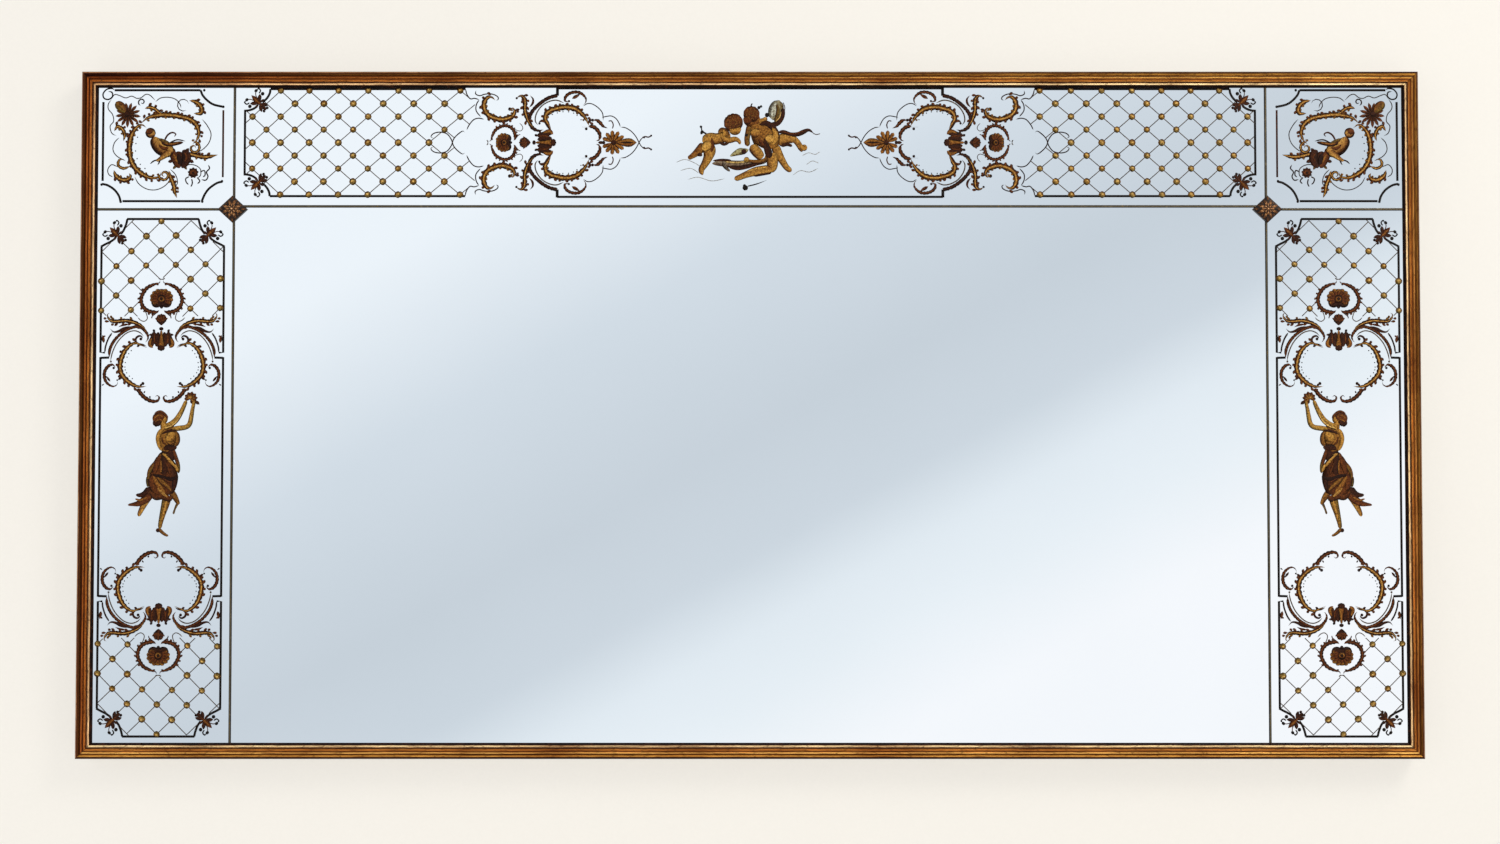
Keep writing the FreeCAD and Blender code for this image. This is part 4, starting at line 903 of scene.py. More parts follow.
def boss_carving(side):
    """The carved front of a boss, a closed shell that sits in the bevel of the boss below it.

    With R the share of the way from the middle to the diamond's edge and T the angle, the shell
    rises by the bevel times min(1, (1-R) / its share), the crown times 1-R^1.5, and rings of
    leaves, cos 8T inside, -cos 8T outside and cos 16T along the edge, each leaf split by a vein
    and rounded as a sine.
    """
    name = "boss_right" if side > 0 else "boss_left"
    low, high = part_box(name)
    middle = np.array([(low[0] + high[0]) / 2, 0, (low[2] + high[2]) / 2]) / MM
    half = (high[0] - low[0]) / 2 / MM, (high[2] - low[2]) / 2 / MM
    rings, spokes = 30, 128
    share = np.linspace(0.02, 1, rings)[:, None]
    turn = np.linspace(0, 2 * np.pi, spokes, endpoint=False)[None, :]
    edge = 0.99 / (np.abs(np.cos(turn)) / half[0] + np.abs(np.sin(turn)) / half[1])
    bevel = CARVING_BEVEL * np.clip((1 - share) / BEVEL_SHARE, 0, 1)
    crown = CARVING_CROWN * (1 - share ** 1.5)

    def leaves(start, end, phase, count):
        """A ring of leaves between two shares of the way out."""
        span = np.clip((share - start) / (end - start), 0, 1)
        wave = np.clip(np.cos(count * turn + phase) + 0.35, 0, 1)
        vein = 1 - 0.5 * np.exp(-(np.sin((count * turn + phase) / 2) / 0.12) ** 2)
        notch = 0.8 + 0.2 * np.cos(26 * span)
        return np.sin(np.pi * span) ** 0.7 * wave * vein * notch

    relief = np.maximum.reduce([leaves(0.10, 0.50, 0.0, 8), leaves(0.34, 0.80, np.pi, 8),
                                0.8 * leaves(0.66, 0.99, 0.0, 16), np.exp(-(share / 0.1) ** 2) + 0 * turn])
    out = CARVING_EDGE - GLASS_FRONT / MM + bevel + crown + CARVING_RELIEF * relief
    grid = np.stack([middle[0] + share * edge * np.cos(turn), -out,
                     middle[2] + share * edge * np.sin(turn)], axis=-1)
    foot = grid[-1].copy()
    foot[:, 1] = GLASS_FRONT / MM - CARVING_FOOT
    points = np.vstack([grid.reshape(-1, 3), foot]) * MM
    i, j = np.meshgrid(np.arange(rings), np.arange(spokes), indexing="ij")
    step = (j + 1) % spokes
    near, far = i * spokes, (i + 1) * spokes
    quads = np.stack([near + j, near + step, far + step, far + j], axis=-1).reshape(-1, 4)[:, ::-1]
    cap = np.arange(spokes)
    faces = quads.tolist() + [cap.tolist(), (cap[::-1] + rings * spokes).tolist()]
    mesh = bpy.data.meshes.new(name + "_carving")
    mesh.from_pydata(points.tolist(), [], faces)
    mesh.polygons.foreach_set("use_smooth", np.arange(len(faces)) < (rings - 1) * spokes)
    attribute(mesh, "crest", "FLOAT", np.append(relief * (1.1 - 0.4 * share ** 2), np.zeros(spokes)))
    return mesh


# ---- finishes ----

def graph(name):
    """A new material with an empty node tree."""
    material = bpy.data.materials.new(name)
    material.use_nodes = True
    material.node_tree.nodes.clear()
    return material, material.node_tree


def put(tree, kind, inputs=None, **settings):
    """Adds a node, sets it up, and fills its inputs with values or other nodes' outputs."""
    node = tree.nodes.new("ShaderNode" + kind)
    for key, value in settings.items():
        setattr(node, key, value)
    for key, value in (inputs or {}).items():
        if isinstance(value, bpy.types.NodeSocket):
            tree.links.new(value, node.inputs[key])
        else:
            node.inputs[key].default_value = value
    return node


def maths(tree, operation, *terms, clamp=False):
    """The result of one Math node on numbers or other nodes' outputs."""
    return put(tree, "Math", dict(enumerate(terms)), operation=operation, use_clamp=clamp).outputs[0]


def ramp(tree, factor, stops):
    """A colour ramp; stops are pairs of place and linear colour."""
    node = put(tree, "ValToRGB", {0: factor})
    elements = node.color_ramp.elements
    while len(elements) < len(stops):
        elements.new(0.5)
    for element, (place, colour) in zip(elements, stops):
        element.position = place
    for element, (place, colour) in zip(elements, stops):
        element.color = (*colour, 1.0)
    return node.outputs[0]


def between(tree, factor, low, high, kind="MIX"):
    """A mix of two colours or a multiply of one by the other."""
    node = put(tree, "Mix", {0: factor}, data_type="RGBA", blend_type=kind)
    for socket, value in ((6, low), (7, high)):
        if isinstance(value, bpy.types.NodeSocket):
            tree.links.new(value, node.inputs[socket])
        else:
            node.inputs[socket].default_value = (*value, 1.0)
    return node.outputs[2]


def stretch(tree, scale, place=None):
    """Object coordinates, scaled on each axis, for grain, streaks and cracks."""
    source = place or put(tree, "TexCoord").outputs["Object"]
    return put(tree, "Mapping", {"Vector": source, "Scale": scale}).outputs[0]


def noise(tree, vector, scale=1.0, detail=4.0, roughness=0.55):
    """Fractal noise from 0 to 1."""
    return put(tree, "TexNoise", {"Vector": vector, "Scale": scale, "Detail": detail,
                                  "Roughness": roughness}).outputs[0]


def surface(tree, colour, roughness=0.5, metallic=0.0, height=None, bump=0.0, depth=0.0002, **more):
    """The shader and its output, with an optional bump."""
    inputs = {"Base Color": colour if isinstance(colour, bpy.types.NodeSocket) else (*colour, 1.0),
              "Roughness": roughness, "Metallic": metallic, **more}
    if height is not None:
        inputs["Normal"] = put(tree, "Bump", {"Strength": bump, "Distance": depth,
                                              "Height": height}).outputs[0]
    shader = put(tree, "BsdfPrincipled", inputs)
    put(tree, "OutputMaterial", {"Surface": shader.outputs[0]})
    return shader


# Of the gilding, in metres: how far its colours wander off the reeds, half the width of a mitre's dark
# line, and the depth behind which it is dusty; and a crack's half width as a share of the crack cells.
WANDER, MITRE_LINE, DUSTY_FROM, CRACK = 0.0008, 0.00045, -0.034, 0.035

# Colours across the gilt moulding by distance in from its outer edge, in millimetres. The pale reed crowns
# are painted highlights, the dark red-brown grooves are the clay with painted shade, and the near black band
# from 18.8 mm in, at the sight edge, is painted shade.
REED_COLOURS_WITH_PAINTED_LIGHT = (
    (0.0, srgb(60, 34, 20)), (1.2, srgb(200, 160, 120)), (2.3, srgb(64, 18, 5)),
    (3.4, srgb(46, 9, 2)), (6.4, srgb(44, 8, 2)), (7.5, srgb(150, 78, 26)), (8.7, srgb(158, 88, 34)),
    (9.7, srgb(60, 20, 5)), (10.6, srgb(66, 22, 5)), (11.5, srgb(190, 120, 50)), (12.7, srgb(226, 160, 80)),
    (13.6, srgb(60, 20, 4)), (14.9, srgb(50, 16, 3)), (15.7, srgb(255, 226, 176)),
    (17.3, srgb(255, 224, 172)), (18.1, srgb(60, 26, 10)), (18.8, srgb(14, 4, 2)), (22.5, srgb(14, 7, 4)))
# The same where the gold on the outer reeds is not worn down to the clay, again with painted highlights on
# the crowns and painted shade in the grooves.
GILT_COLOURS_WITH_PAINTED_LIGHT = (
    (0.0, srgb(40, 16, 6)), (2.7, srgb(50, 18, 5)), (3.6, srgb(216, 154, 70)), (4.9, srgb(210, 148, 64)),
    (5.9, srgb(64, 24, 4)), (6.9, srgb(72, 28, 5)), (7.8, srgb(246, 192, 104)), (9.0, srgb(226, 166, 84)),
    (9.9, srgb(80, 34, 8)), (10.6, srgb(84, 36, 8))) + REED_COLOURS_WITH_PAINTED_LIGHT[9:]


def gilt_finish(name, upright, low_end_painted_light, high_end_painted_light, gilt):
    """Water gilding over red clay: the colour follows the reeds, with painted highlights on their crowns and
    painted shade in the grooves and at the sight edge, streaked along the length, crossed by hairline
    cracks, with a darker mitre line; from one end to the other it drifts between two tones of painted light
    and shade and two shares of unworn gold."""
    material, tree = graph(name)
    place = put(tree, "TexCoord").outputs["Object"]
    xyz = put(tree, "SeparateXYZ", {0: place})
    in_from_side = maths(tree, "SUBTRACT", HALF_WIDTH, maths(tree, "ABSOLUTE", xyz.outputs[0]))
    in_from_top = maths(tree, "SUBTRACT", HALF_HEIGHT, maths(tree, "ABSOLUTE", xyz.outputs[2]))
    inset = in_from_side if upright else in_from_top
    wander = noise(tree, stretch(tree, (60, 60, 60), place), 1.0, 3.0)
    inset = maths(tree, "ADD", inset, maths(tree, "MULTIPLY", maths(tree, "SUBTRACT", wander, 0.5), WANDER))
    width = REED_COLOURS_WITH_PAINTED_LIGHT[-1][0]
    # Both ramps hold painted highlights on the reed crowns and painted shade in the grooves and at the sight
    # edge.
    worn, whole = (ramp(tree, maths(tree, "DIVIDE", inset, width * MM),
                        [(mm / width, tone) for mm, tone in tones]) for tones in (REED_COLOURS_WITH_PAINTED_LIGHT,
                                                                                  GILT_COLOURS_WITH_PAINTED_LIGHT))
    end = maths(tree, "MULTIPLY_ADD", xyz.outputs[2 if upright else 0],
                0.5 / (HALF_HEIGHT if upright else HALF_WIDTH), 0.5)
    colour = between(tree, maths(tree, "MULTIPLY_ADD", end, gilt[1] - gilt[0], gilt[0], clamp=True),
                     worn, whole)
    along = (900, 900, 14) if upright else (14, 900, 900)
    streaks = noise(tree, stretch(tree, along, place), 1.0, 5.0, 0.6)
    colour = between(tree, 1.0, colour, ramp(tree, streaks, [
        (0.32, (0.36, 0.26, 0.2)), (0.5, (0.96, 0.9, 0.84)), (0.68, (1.45, 1.4, 1.32))]), "MULTIPLY")
    patches = noise(tree, stretch(tree, (9, 30, 9), place), 1.0, 4.0, 0.6)
    colour = between(tree, 1.0, colour, ramp(tree, patches, [
        (0.32, (0.6, 0.48, 0.42)), (0.52, (1.0, 1.0, 1.0)), (0.72, (1.22, 1.26, 1.3))]), "MULTIPLY")
    # Painted light and shade: a tone that darkens or lightens the gilding from one end of the length to the
    # other.
    colour = between(tree, 1.0, colour, ramp(tree, end, [(0.05, low_end_painted_light), (0.5, (1, 1, 1)),
                                                         (0.95, high_end_painted_light)]), "MULTIPLY")
    crack_at = (700, 700, 95) if upright else (95, 700, 700)
    cracks = put(tree, "TexVoronoi", {"Vector": stretch(tree, crack_at, place), "Scale": 0.35,
                                      "Randomness": 1.0}, feature="DISTANCE_TO_EDGE").outputs["Distance"]
    cracked = maths(tree, "MULTIPLY", maths(tree, "LESS_THAN", cracks, CRACK), 0.5)
    colour = between(tree, cracked, colour, srgb(70, 34, 14))
    mitre = maths(tree, "ABSOLUTE", maths(tree, "SUBTRACT", in_from_side, in_from_top))
    joint = maths(tree, "MULTIPLY", maths(tree, "LESS_THAN", mitre, MITRE_LINE), 0.75)
    colour = between(tree, joint, colour, srgb(30, 16, 8))
    dusty = maths(tree, "MULTIPLY", maths(tree, "GREATER_THAN", xyz.outputs[1], DUSTY_FROM), 0.1)
    colour = between(tree, dusty, colour, srgb(120, 88, 56))
    surface(tree, colour, 0.5, 0.0, streaks, 0.35, 0.0003, **{"Specular IOR Level": 0.06})
    return material


def mirror_finish():
    """Old silvered plate: a cool mirror with the faintest clouding."""
    material, tree = graph("silvered_plate")
    clouds = noise(tree, stretch(tree, (3, 3, 3)), 1.0, 3.0, 0.5)
    colour = ramp(tree, clouds, [(0.3, (0.955, 0.965, 0.97)), (0.7, (0.98, 0.985, 0.99))])
    surface(tree, colour, 0.04, 1.0)
    return material


def paint_finish():
    """Oil colour and shell gold on glass: each stroke's own colour, darker along its edges,
    mottled where the gold is rubbed."""
    material, tree = graph("painted_ornament")
    tint = put(tree, "Attribute", attribute_name="tint").outputs["Color"]
    across = put(tree, "Attribute", attribute_name="across").outputs["Fac"]
    edge = maths(tree, "POWER", maths(tree, "ABSOLUTE", across), 2.5)
    rubbed = noise(tree, stretch(tree, (420, 420, 420)), 1.0, 3.0, 0.6)
    colour = between(tree, 1.0, tint, ramp(tree, rubbed, [
        (0.34, (0.32, 0.24, 0.17)), (0.5, (0.9, 0.87, 0.84)), (0.66, (1.42, 1.42, 1.36))]), "MULTIPLY")
    colour = between(tree, maths(tree, "MULTIPLY", edge, 0.75), colour, srgb(30, 16, 8))
    surface(tree, colour, 0.6, 0.0, rubbed, 0.3, 0.0001, **{"Specular IOR Level": 0.12})
    return material


HIGHLIGHT_HALF_WIDTH = 0.00045  # half the width of the painted highlight along a bead's ridge, in metres


def bronze_finish(name, dark, rubbed_and_highlight_tone, highlight_line=None):
    """Dark bronzed brass, rubbed to a paler tone in patches, with a painted highlight along a ridge line."""
    material, tree = graph(name)
    place = put(tree, "TexCoord").outputs["Object"]
    fine = noise(tree, stretch(tree, (260, 260, 260), place), 1.0, 5.0, 0.65)
    colour = ramp(tree, fine, [(0.35, dark), (0.58, dark * 1.7), (0.78, rubbed_and_highlight_tone)])
    if highlight_line is not None:
        axis, centre = highlight_line
        # The ridge line is a painted highlight, a band in the rubbed tone.
        xyz = put(tree, "SeparateXYZ", {0: place})
        off = maths(tree, "ABSOLUTE", maths(tree, "SUBTRACT", maths(tree, "ABSOLUTE",
                                                                  xyz.outputs[axis]), centre))
        lit = maths(tree, "MULTIPLY", maths(tree, "LESS_THAN", off, HIGHLIGHT_HALF_WIDTH), 0.6)
        colour = between(tree, lit, colour, rubbed_and_highlight_tone)
    surface(tree, colour, 0.42, 0.6, fine, 0.25, 0.0002)
    return material


def carved_finish():
    """Bronzed carving: near black in the hollows, brown on the leaves, rubbed to pale specks."""
    material, tree = graph("carved_bronze")
    crest = put(tree, "Attribute", attribute_name="crest").outputs["Fac"]
    place = put(tree, "TexCoord").outputs["Object"]
    specks = noise(tree, stretch(tree, (620, 620, 620), place), 1.0, 3.0, 0.6)
    worn = maths(tree, "MULTIPLY_ADD", maths(tree, "SUBTRACT", specks, 0.5), 1.6, crest)
    colour = ramp(tree, worn, [(0.05, srgb(22, 13, 8)), (0.3, srgb(62, 34, 12)), (0.55, srgb(112, 68, 24)),
                               (0.82, srgb(176, 122, 74)), (0.98, srgb(222, 178, 132))])
    surface(tree, colour, 0.55, 0.2, specks, 0.3, 0.0002, **{"Specular IOR Level": 0.25})
    return material


def timber_finish(name, upright, pale, dark, seed=0.0):
    """Bare old wood: long wavering growth lines, fine pores and a duller skin in patches."""
    material, tree = graph(name)
    place = put(tree, "TexCoord").outputs["Object"]
    shifted = put(tree, "Mapping", {"Vector": place, "Location": (seed, seed * 0.7, seed * 1.3)}).outputs[0]
    along = (26, 26, 1.6) if upright else (1.6, 26, 26)
    warp = noise(tree, stretch(tree, along, shifted), 1.0, 3.0, 0.5)
    rings = maths(tree, "SINE", maths(tree, "MULTIPLY", warp, 60))
    grain = ramp(tree, maths(tree, "MULTIPLY_ADD", rings, 0.5, 0.5),
                 [(0.0, pale), (0.62, pale * 0.9), (0.9, dark), (1.0, dark * 0.9)])
    pore_at = (1500, 1500, 40) if upright else (40, 1500, 1500)
    pores = noise(tree, stretch(tree, pore_at, shifted), 1.0, 3.0, 0.6)
    grain = between(tree, 1.0, grain, ramp(tree, pores, [(0.35, (0.72, 0.7, 0.66)),
                                                         (0.55, (1, 1, 1))]), "MULTIPLY")
    skin = noise(tree, stretch(tree, (5, 5, 5), shifted), 1.0, 5.0, 0.6)
    grain = between(tree, 1.0, grain, ramp(tree, skin, [(0.3, (0.66, 0.62, 0.58)),
                                                        (0.65, (1.05, 1.03, 1.0))]), "MULTIPLY")
    surface(tree, grain, 0.72, 0.0, pores, 0.4, 0.0003)
    return material


def metal_finish(name, tone, brushed, roughness=0.35):
    """Dull zinc or brass: a fine brushed streak, with grey bloom in patches."""
    material, tree = graph(name)
    place = put(tree, "TexCoord").outputs["Object"]
    fine = noise(tree, stretch(tree, brushed, place), 1.0, 3.0, 0.6)
    bloom = noise(tree, stretch(tree, (90, 90, 90), place), 1.0, 4.0, 0.6)
    colour = ramp(tree, fine, [(0.3, tone * 0.75), (0.7, tone * 1.1)])
    colour = between(tree, ramp(tree, bloom, [(0.45, (0, 0, 0)), (0.75, (0.5, 0.5, 0.5))]),
                     colour, tone * 0.6 + 0.08)
    rough = maths(tree, "MULTIPLY_ADD", bloom, 0.3, roughness - 0.1)
    surface(tree, colour, rough, 0.9, fine, 0.15, 0.0001)
    return material


def leather_finish(name, tone, pebble, roughness):
    """Leather or rubber: a fine pebbled skin."""
    material, tree = graph(name)
    cells = put(tree, "TexVoronoi", {"Vector": stretch(tree, (pebble, pebble, pebble)),
                                     "Scale": 1.0}).outputs["Distance"]
    colour = ramp(tree, cells, [(0.1, tone * 1.15), (0.8, tone * 0.7)])
    surface(tree, colour, roughness, 0.0, cells, 0.3, 0.0002)
    return material


def dress(names, finish):
    """Gives the named CAD nodes a finish through their own material slots."""
    for name in names:
        for holder in NODES[name].material_slots:
            holder.material = finish


def named(*starts):
    """The CAD nodes whose names start with one of the given words."""
    return [name for name in sorted(NODES) if name.startswith(starts)]


# ---- what a user would change ----

def tone(name, description, default):
    """A colour setting."""
    return bpy.props.FloatVectorProperty(name=name, description=description, subtype="COLOR",
                                         size=3, min=0.0, max=1.0, default=tuple(default))


class TrumeauFinishes(bpy.types.PropertyGroup):
    """Colours of the stage and the metal."""
    wall: tone("Wall", "Colour of the wall behind the mirror", srgb(250, 246, 238))
    floor: tone("Floor", "Colour of the floor under the mirror", srgb(238, 236, 231))
    bronze: tone("Bronze", "Darkest tone of the beads and bosses", srgb(26, 21, 16))
    # This tone also paints the highlight along the beads' ridges.
    rubbed: tone("Rubbed bronze", "Tone where the bronze is rubbed", srgb(126, 112, 82))
    zinc: tone("Zinc", "Tone of the plates, straps, rings and screws", srgb(166, 166, 162))


class TrumeauSizes(bpy.types.PropertyGroup):
    """Distances of the camera and the stage."""
    camera_distance: bpy.props.FloatProperty(
        name="Camera distance", description="From the wall plane to the camera", default=2.832,
        min=0.5, unit="LENGTH", subtype="DISTANCE")
    camera_height: bpy.props.FloatProperty(
        name="Camera height", description="From the middle of the mirror to the camera",
        default=-0.1048, unit="LENGTH", subtype="DISTANCE")
    camera_pitch: bpy.props.FloatProperty(
        name="Camera pitch", description="How far the camera looks up", default=math.radians(1.915),
        subtype="ANGLE")
    floor_drop: bpy.props.FloatProperty(
        name="Floor drop", description="From the mirror's lower edge down to the floor",
        default=0.34, min=0.0, unit="LENGTH", subtype="DISTANCE")


# ---- operators ----

WALL_GAP = 0.0012  # the wall stands this far behind the wall pads, in metres


class TRUMEAU_OT_stage(bpy.types.Operator):
    """Camera, wall, floor, lamps and world."""
    bl_idname = "trumeau.stage"
    bl_label = "Stage"

    def execute(self, context):
        sizes, finishes = context.scene.trumeau_sizes, context.scene.trumeau_finishes
        scene = context.scene
        scene.view_settings.view_transform = "Standard"
        view = bpy.data.cameras.new("photograph_view")
        view.lens, view.sensor_width = 50.0, 36.0
        camera = bpy.data.objects.new("photograph_view", view)
        camera.location = (0, -sizes.camera_distance, sizes.camera_height)
        camera.rotation_euler = (math.pi / 2 + sizes.camera_pitch, 0, 0)
        scene.collection.objects.link(camera)
        scene.camera = camera
        wall = stage_sheet("wall", [(-4, WALL_GAP, -2.5), (4, WALL_GAP, -2.5), (4, WALL_GAP, 3),
                                    (-4, WALL_GAP, 3)],
                           wall_finish(finishes.wall))
        floor_z = -HALF_HEIGHT - sizes.floor_drop
        floor = stage_sheet("floor", [(-5, -6, floor_z), (5, -6, floor_z), (5, 5, floor_z),
                                      (-5, 5, floor_z)],
                            floor_finish(finishes.floor))
        wall.visible_diffuse = wall.visible_glossy = floor.visible_glossy = False
        wall.visible_transmission = wall.visible_shadow = False
        lamp("key", (2.3, -2.5, 2.4), 1.5, 92, srgb(255, 250, 240))
        lamp("fill", (-2.8, -2.6, 0.6), 2.5, 24, srgb(240, 246, 255))
        lamp("back", (-1.2, 3.0, 1.8), 2.5, 110, srgb(255, 252, 248))
        scene.world = sky()
        return {"FINISHED"}


def stage_sheet(name, corners, finish):
    """One flat face of the stage, which isn't part of the object."""
    mesh = bpy.data.meshes.new(name)
    mesh.from_pydata(corners, [], [(0, 1, 2, 3)])
    mesh.materials.append(finish)
    sheet = bpy.data.objects.new(name, mesh)
    bpy.context.scene.collection.objects.link(sheet)
    return sheet


def lamp(name, place, size, power, colour):
    """A soft square lamp that looks at the middle of the mirror."""
    light = bpy.data.lights.new(name, "AREA")
    light.shape, light.size, light.energy = "SQUARE", size, power
    light.color = tuple(colour)
    holder = bpy.data.objects.new(name, light)
    holder.location = place
    holder.rotation_euler = (-holder.location).to_track_quat("-Z", "Y").to_euler()
    holder.visible_glossy = name == "key"
    bpy.context.scene.collection.objects.link(holder)


def wall_finish(colour):
    """Pale plaster, lit evenly, in front; from behind nothing, so that the mirror's back shows."""
    material, tree = graph("wall_plaster")
    grit = noise(tree, stretch(tree, (300, 300, 300)), 1.0, 4.0)
    lime = ramp(tree, grit, [(0.3, np.array(colour) * 0.985), (0.7, np.array(colour))])
    paint = put(tree, "BsdfDiffuse", {"Color": lime})
    glow = put(tree, "Emission", {"Color": lime, "Strength": 0.98})
    bright = put(tree, "MixShader", {0: 0.74, 1: paint.outputs[0], 2: glow.outputs[0]})
    clear = put(tree, "BsdfTransparent")
    behind = put(tree, "NewGeometry").outputs["Backfacing"]
    either = put(tree, "MixShader", {0: behind, 1: bright.outputs[0], 2: clear.outputs[0]})
    put(tree, "OutputMaterial", {"Surface": either.outputs[0]})
    return material


def floor_finish(colour):
    """Pale, faintly clouded plaster."""
    material, tree = graph("floor_plaster")
    grit = noise(tree, stretch(tree, (6, 6, 6)), 1.0, 4.0)
    shade = ramp(tree, grit, [(0.3, np.array(colour) * 0.97), (0.7, np.array(colour))])
    surface(tree, shade, 0.8)
    return material


def sky():
    """Even soft light; what shiny things see is a pale room that is brightest at the upper left
    and lower right, with a broad grey band between."""
    world = bpy.data.worlds.new("studio")
    world.use_nodes = True
    tree = world.node_tree
    tree.nodes.clear()
    ray = put(tree, "LightPath")
    towards = put(tree, "SeparateXYZ", {0: put(tree, "TexCoord").outputs["Generated"]})
    ahead = maths(tree, "MAXIMUM", maths(tree, "MULTIPLY", towards.outputs[1], -1.0), 0.3)
    across = maths(tree, "DIVIDE", towards.outputs[0], ahead)
    up = maths(tree, "DIVIDE", towards.outputs[2], ahead)
    slant = maths(tree, "MULTIPLY_ADD", across, 1.5, 0.575)
    slant = maths(tree, "MULTIPLY_ADD", up, -2.72, slant)
    room = ramp(tree, slant, [(0.0, srgb(240, 247, 253)), (0.25, srgb(213, 223, 232)),
                              (0.5, srgb(201, 211, 220)), (0.66, srgb(206, 216, 225)),
                              (0.76, srgb(228, 237, 244)), (0.85, srgb(234, 242, 248)),
                              (1.0, srgb(248, 251, 255))])
    colour = between(tree, ray.outputs["Is Glossy Ray"], (0.5, 0.5, 0.5), room)
    colour = between(tree, ray.outputs["Is Camera Ray"], colour, srgb(240, 239, 236))
    put(tree, "OutputWorld", {"Surface": put(tree, "Background", {"Color": colour}).outputs[0]})
    return world


class TRUMEAU_OT_glass(bpy.types.Operator):
    """The six silvered panes."""
    bl_idname = "trumeau.glass"
    bl_label = "Mirror panes"

    def execute(self, context):
        dress(named("pane_"), mirror_finish())
        return {"FINISHED"}


class TRUMEAU_OT_moulding(bpy.types.Operator):
    """The reeded gilt moulding, each length with its own wear and its own painted light and shade."""
    bl_idname = "trumeau.moulding"
    bl_label = "Gilt moulding"

    def execute(self, context):
        # Each length's two tones are painted light and shade, darker on the left stile and lighter towards
        # the right, as if lit from the upper right; the last pair is its share of unworn gold.
        for side, upright, low, high, gilt in (
                ("top", False, (0.9, 0.76, 0.68), (1.16, 1.26, 1.26), (0.0, 1.0)),
                ("bottom", False, (1.06, 1.1, 1.1), (1.12, 1.18, 1.18), (0.9, 1.0)),
                ("left", True, (0.86, 0.72, 0.66), (0.9, 0.76, 0.7), (0.1, 0.1)),
                ("right", True, (0.96, 0.88, 0.82), (1.06, 1.08, 1.1), (0.3, 0.6))):
            dress(["moulding_" + side], gilt_finish("gilding_" + side, upright, low, high, gilt))
        return {"FINISHED"}


class TRUMEAU_OT_beads(bpy.types.Operator):
    """The dark glazing beads and their pins."""
    bl_idname = "trumeau.beads"
    bl_label = "Beads"

    def execute(self, context):
        finishes = context.scene.trumeau_finishes
        dark, rubbed = np.array(finishes.bronze), np.array(finishes.rubbed)
        # Each bead gets a painted highlight along its ridge line.
        for name, nodes, highlight_line in (
                ("bronze_upright", named("bead_lower", "bead_upper"), (0, BEAD_X)),
                ("bronze_centre", ["bead_centre"], (2, CENTRE_BEAD_Z)),
                ("bronze_side", named("bead_side"), (2, SIDE_BEAD_Z))):
            dress(nodes, bronze_finish(name, dark, rubbed, highlight_line=highlight_line))
        dress(["bead_pins"], metal_finish("pin_brass", srgb(120, 96, 52), (200, 200, 200)))
        dress(["boss_left", "boss_right"], bronze_finish("boss_bronze", dark, srgb(150, 96, 40)))
        carved = carved_finish()
        for side in (-1, 1):
            mesh = boss_carving(side)
            finished(mesh.name, mesh, carved)
        return {"FINISHED"}


class TRUMEAU_OT_backing(bpy.types.Operator):
    """The panelled pine backing and its hardwood pegs and keys."""
    bl_idname = "trumeau.backing"
    bl_label = "Backing"

    def execute(self, context):
        pale, dark = srgb(206, 168, 116), srgb(150, 104, 60)
        dress(named("backing_stile", "muntin"), timber_finish("pine_upright", True, pale, dark))
        dress(named("backing_rail"), timber_finish("pine_level", False, pale, dark, 3.0))
        dress(named("panel_"), timber_finish("pine_panel", True, srgb(214, 178, 126),
                                             srgb(164, 118, 70), 7.0))
        dress(["tenon_pegs", "mitre_keys"], timber_finish("oak_pegs", True, srgb(150, 112, 70),
                                                          srgb(96, 64, 34), 11.0))
        return {"FINISHED"}


class TRUMEAU_OT_fittings(bpy.types.Operator):
    """Hangers, rings, tie plates, screws, studs, setting blocks and wall pads."""
    bl_idname = "trumeau.fittings"
    bl_label = "Fittings"

    def execute(self, context):
        zinc = np.array(context.scene.trumeau_finishes.zinc)
        dress(named("hanger_strap", "tie_plates"), metal_finish("zinc_plate", zinc, (30, 900, 900), 0.42))
        dress(named("hanger_ring"), metal_finish("zinc_wire", zinc * 1.05, (300, 300, 300), 0.3))
        dress(named("tie_plate_screws", "hanger_screws", "boss_studs", "boss_nuts", "boss_washers"),
              metal_finish("zinc_screws", zinc * 0.9, (500, 500, 500), 0.38))
        dress(["setting_blocks"], leather_finish("block_leather", srgb(120, 82, 52), 900, 0.7))
        dress(["wall_pads"], leather_finish("pad_rubber", srgb(38, 38, 38), 1400, 0.85))
        return {"FINISHED"}


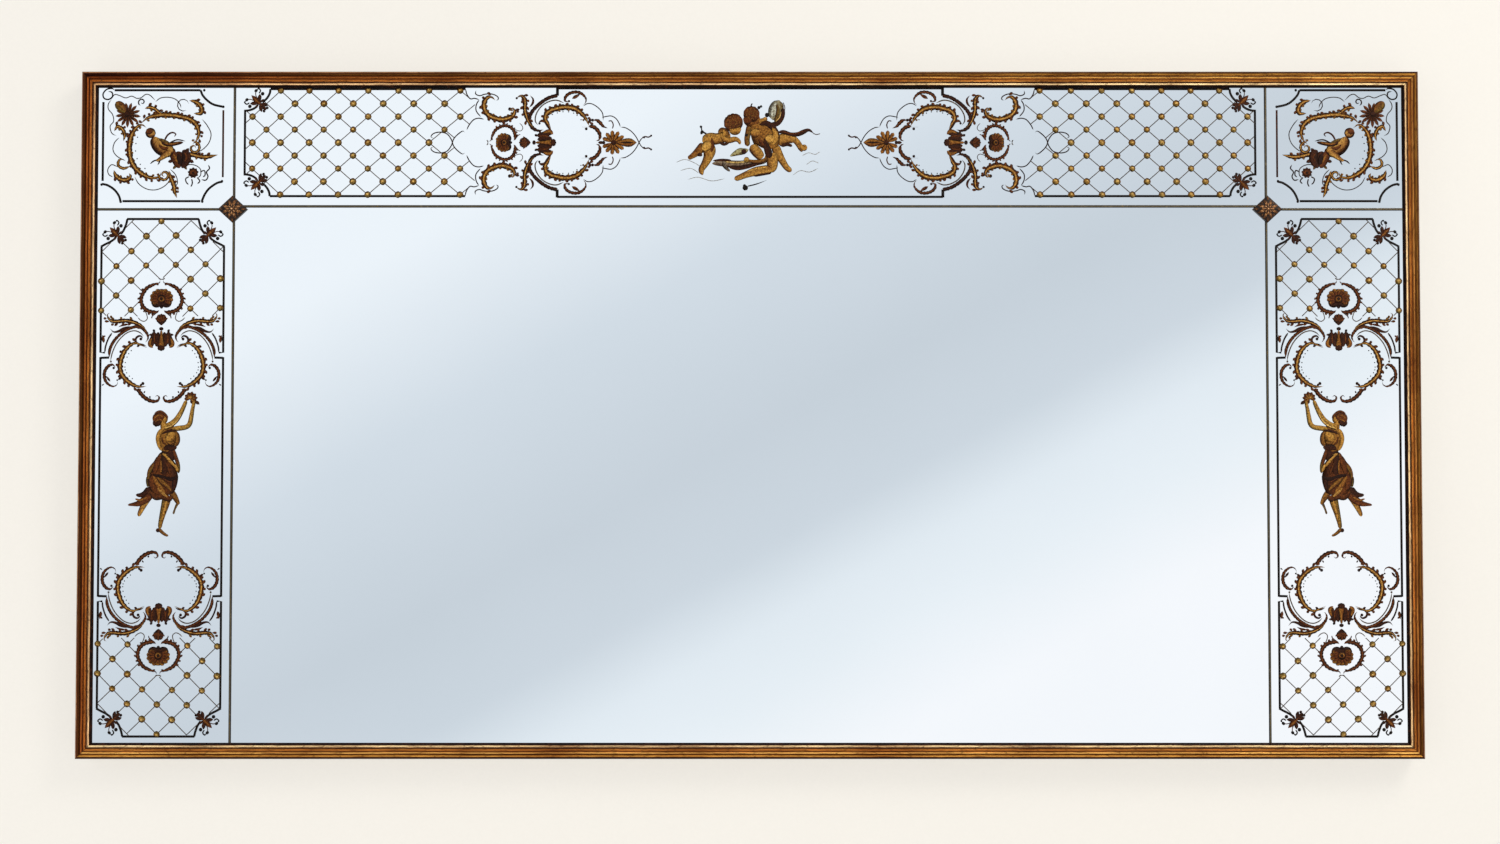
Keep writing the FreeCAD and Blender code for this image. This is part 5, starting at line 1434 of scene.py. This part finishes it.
class TRUMEAU_OT_ornament(bpy.types.Operator):
    """The painted and gilt ornament on the panes."""
    bl_idname = "trumeau.ornament"
    bl_label = "Ornament"

    def execute(self, context):
        paint = paint_finish()
        for name, strokes in (("side_trellis", side_trellis()), ("side_scrolls", side_half())):
            both = strokes + flipped_z(strokes, SIDE_MIDDLE)
            piece_from_strokes(name + "_left", both, paint)
            piece_from_strokes(name + "_right", flipped_x(both), paint)
        for name, strokes in (("top_trellis", top_trellis()), ("top_scrolls", top_left()),
                              ("corner_scrolls", corner_ornament()), ("corner_piper", corner_figure()),
                              ("side_dancer", dancer())):
            piece_from_strokes(name + "_left", strokes, paint)
            piece_from_strokes(name + "_right", flipped_x(strokes), paint)
        piece_from_strokes("top_cherubs", cherubs(), paint)
        return {"FINISHED"}


STEPS = (TRUMEAU_OT_stage, TRUMEAU_OT_glass, TRUMEAU_OT_moulding, TRUMEAU_OT_beads,
         TRUMEAU_OT_ornament, TRUMEAU_OT_backing, TRUMEAU_OT_fittings)


class TRUMEAU_PT_sidebar(bpy.types.Panel):
    """Lists the pieces' operators and what they can be set to."""
    bl_idname = "TRUMEAU_PT_sidebar"
    bl_label = "Trumeau mirror"
    bl_space_type = "VIEW_3D"
    bl_region_type = "UI"
    bl_category = "Mirror"

    def draw(self, context):
        for settings in (context.scene.trumeau_sizes, context.scene.trumeau_finishes):
            for name in settings.__annotations__:
                self.layout.prop(settings, name)
        for step in STEPS:
            self.layout.operator(step.bl_idname, text=step.bl_label)


CLASSES = (TrumeauFinishes, TrumeauSizes, *STEPS, TRUMEAU_PT_sidebar)


def register():
    for cls in CLASSES:
        bpy.utils.register_class(cls)
    bpy.types.Scene.trumeau_sizes = bpy.props.PointerProperty(type=TrumeauSizes)
    bpy.types.Scene.trumeau_finishes = bpy.props.PointerProperty(type=TrumeauFinishes)


def unregister():
    del bpy.types.Scene.trumeau_finishes, bpy.types.Scene.trumeau_sizes
    for cls in reversed(CLASSES):
        bpy.utils.unregister_class(cls)


def main():
    """Dresses the frame piece by piece."""
    register()
    for step in STEPS:
        group, name = step.bl_idname.split(".")
        getattr(getattr(bpy.ops, group), name)()


if __name__ == "__main__":
    main()
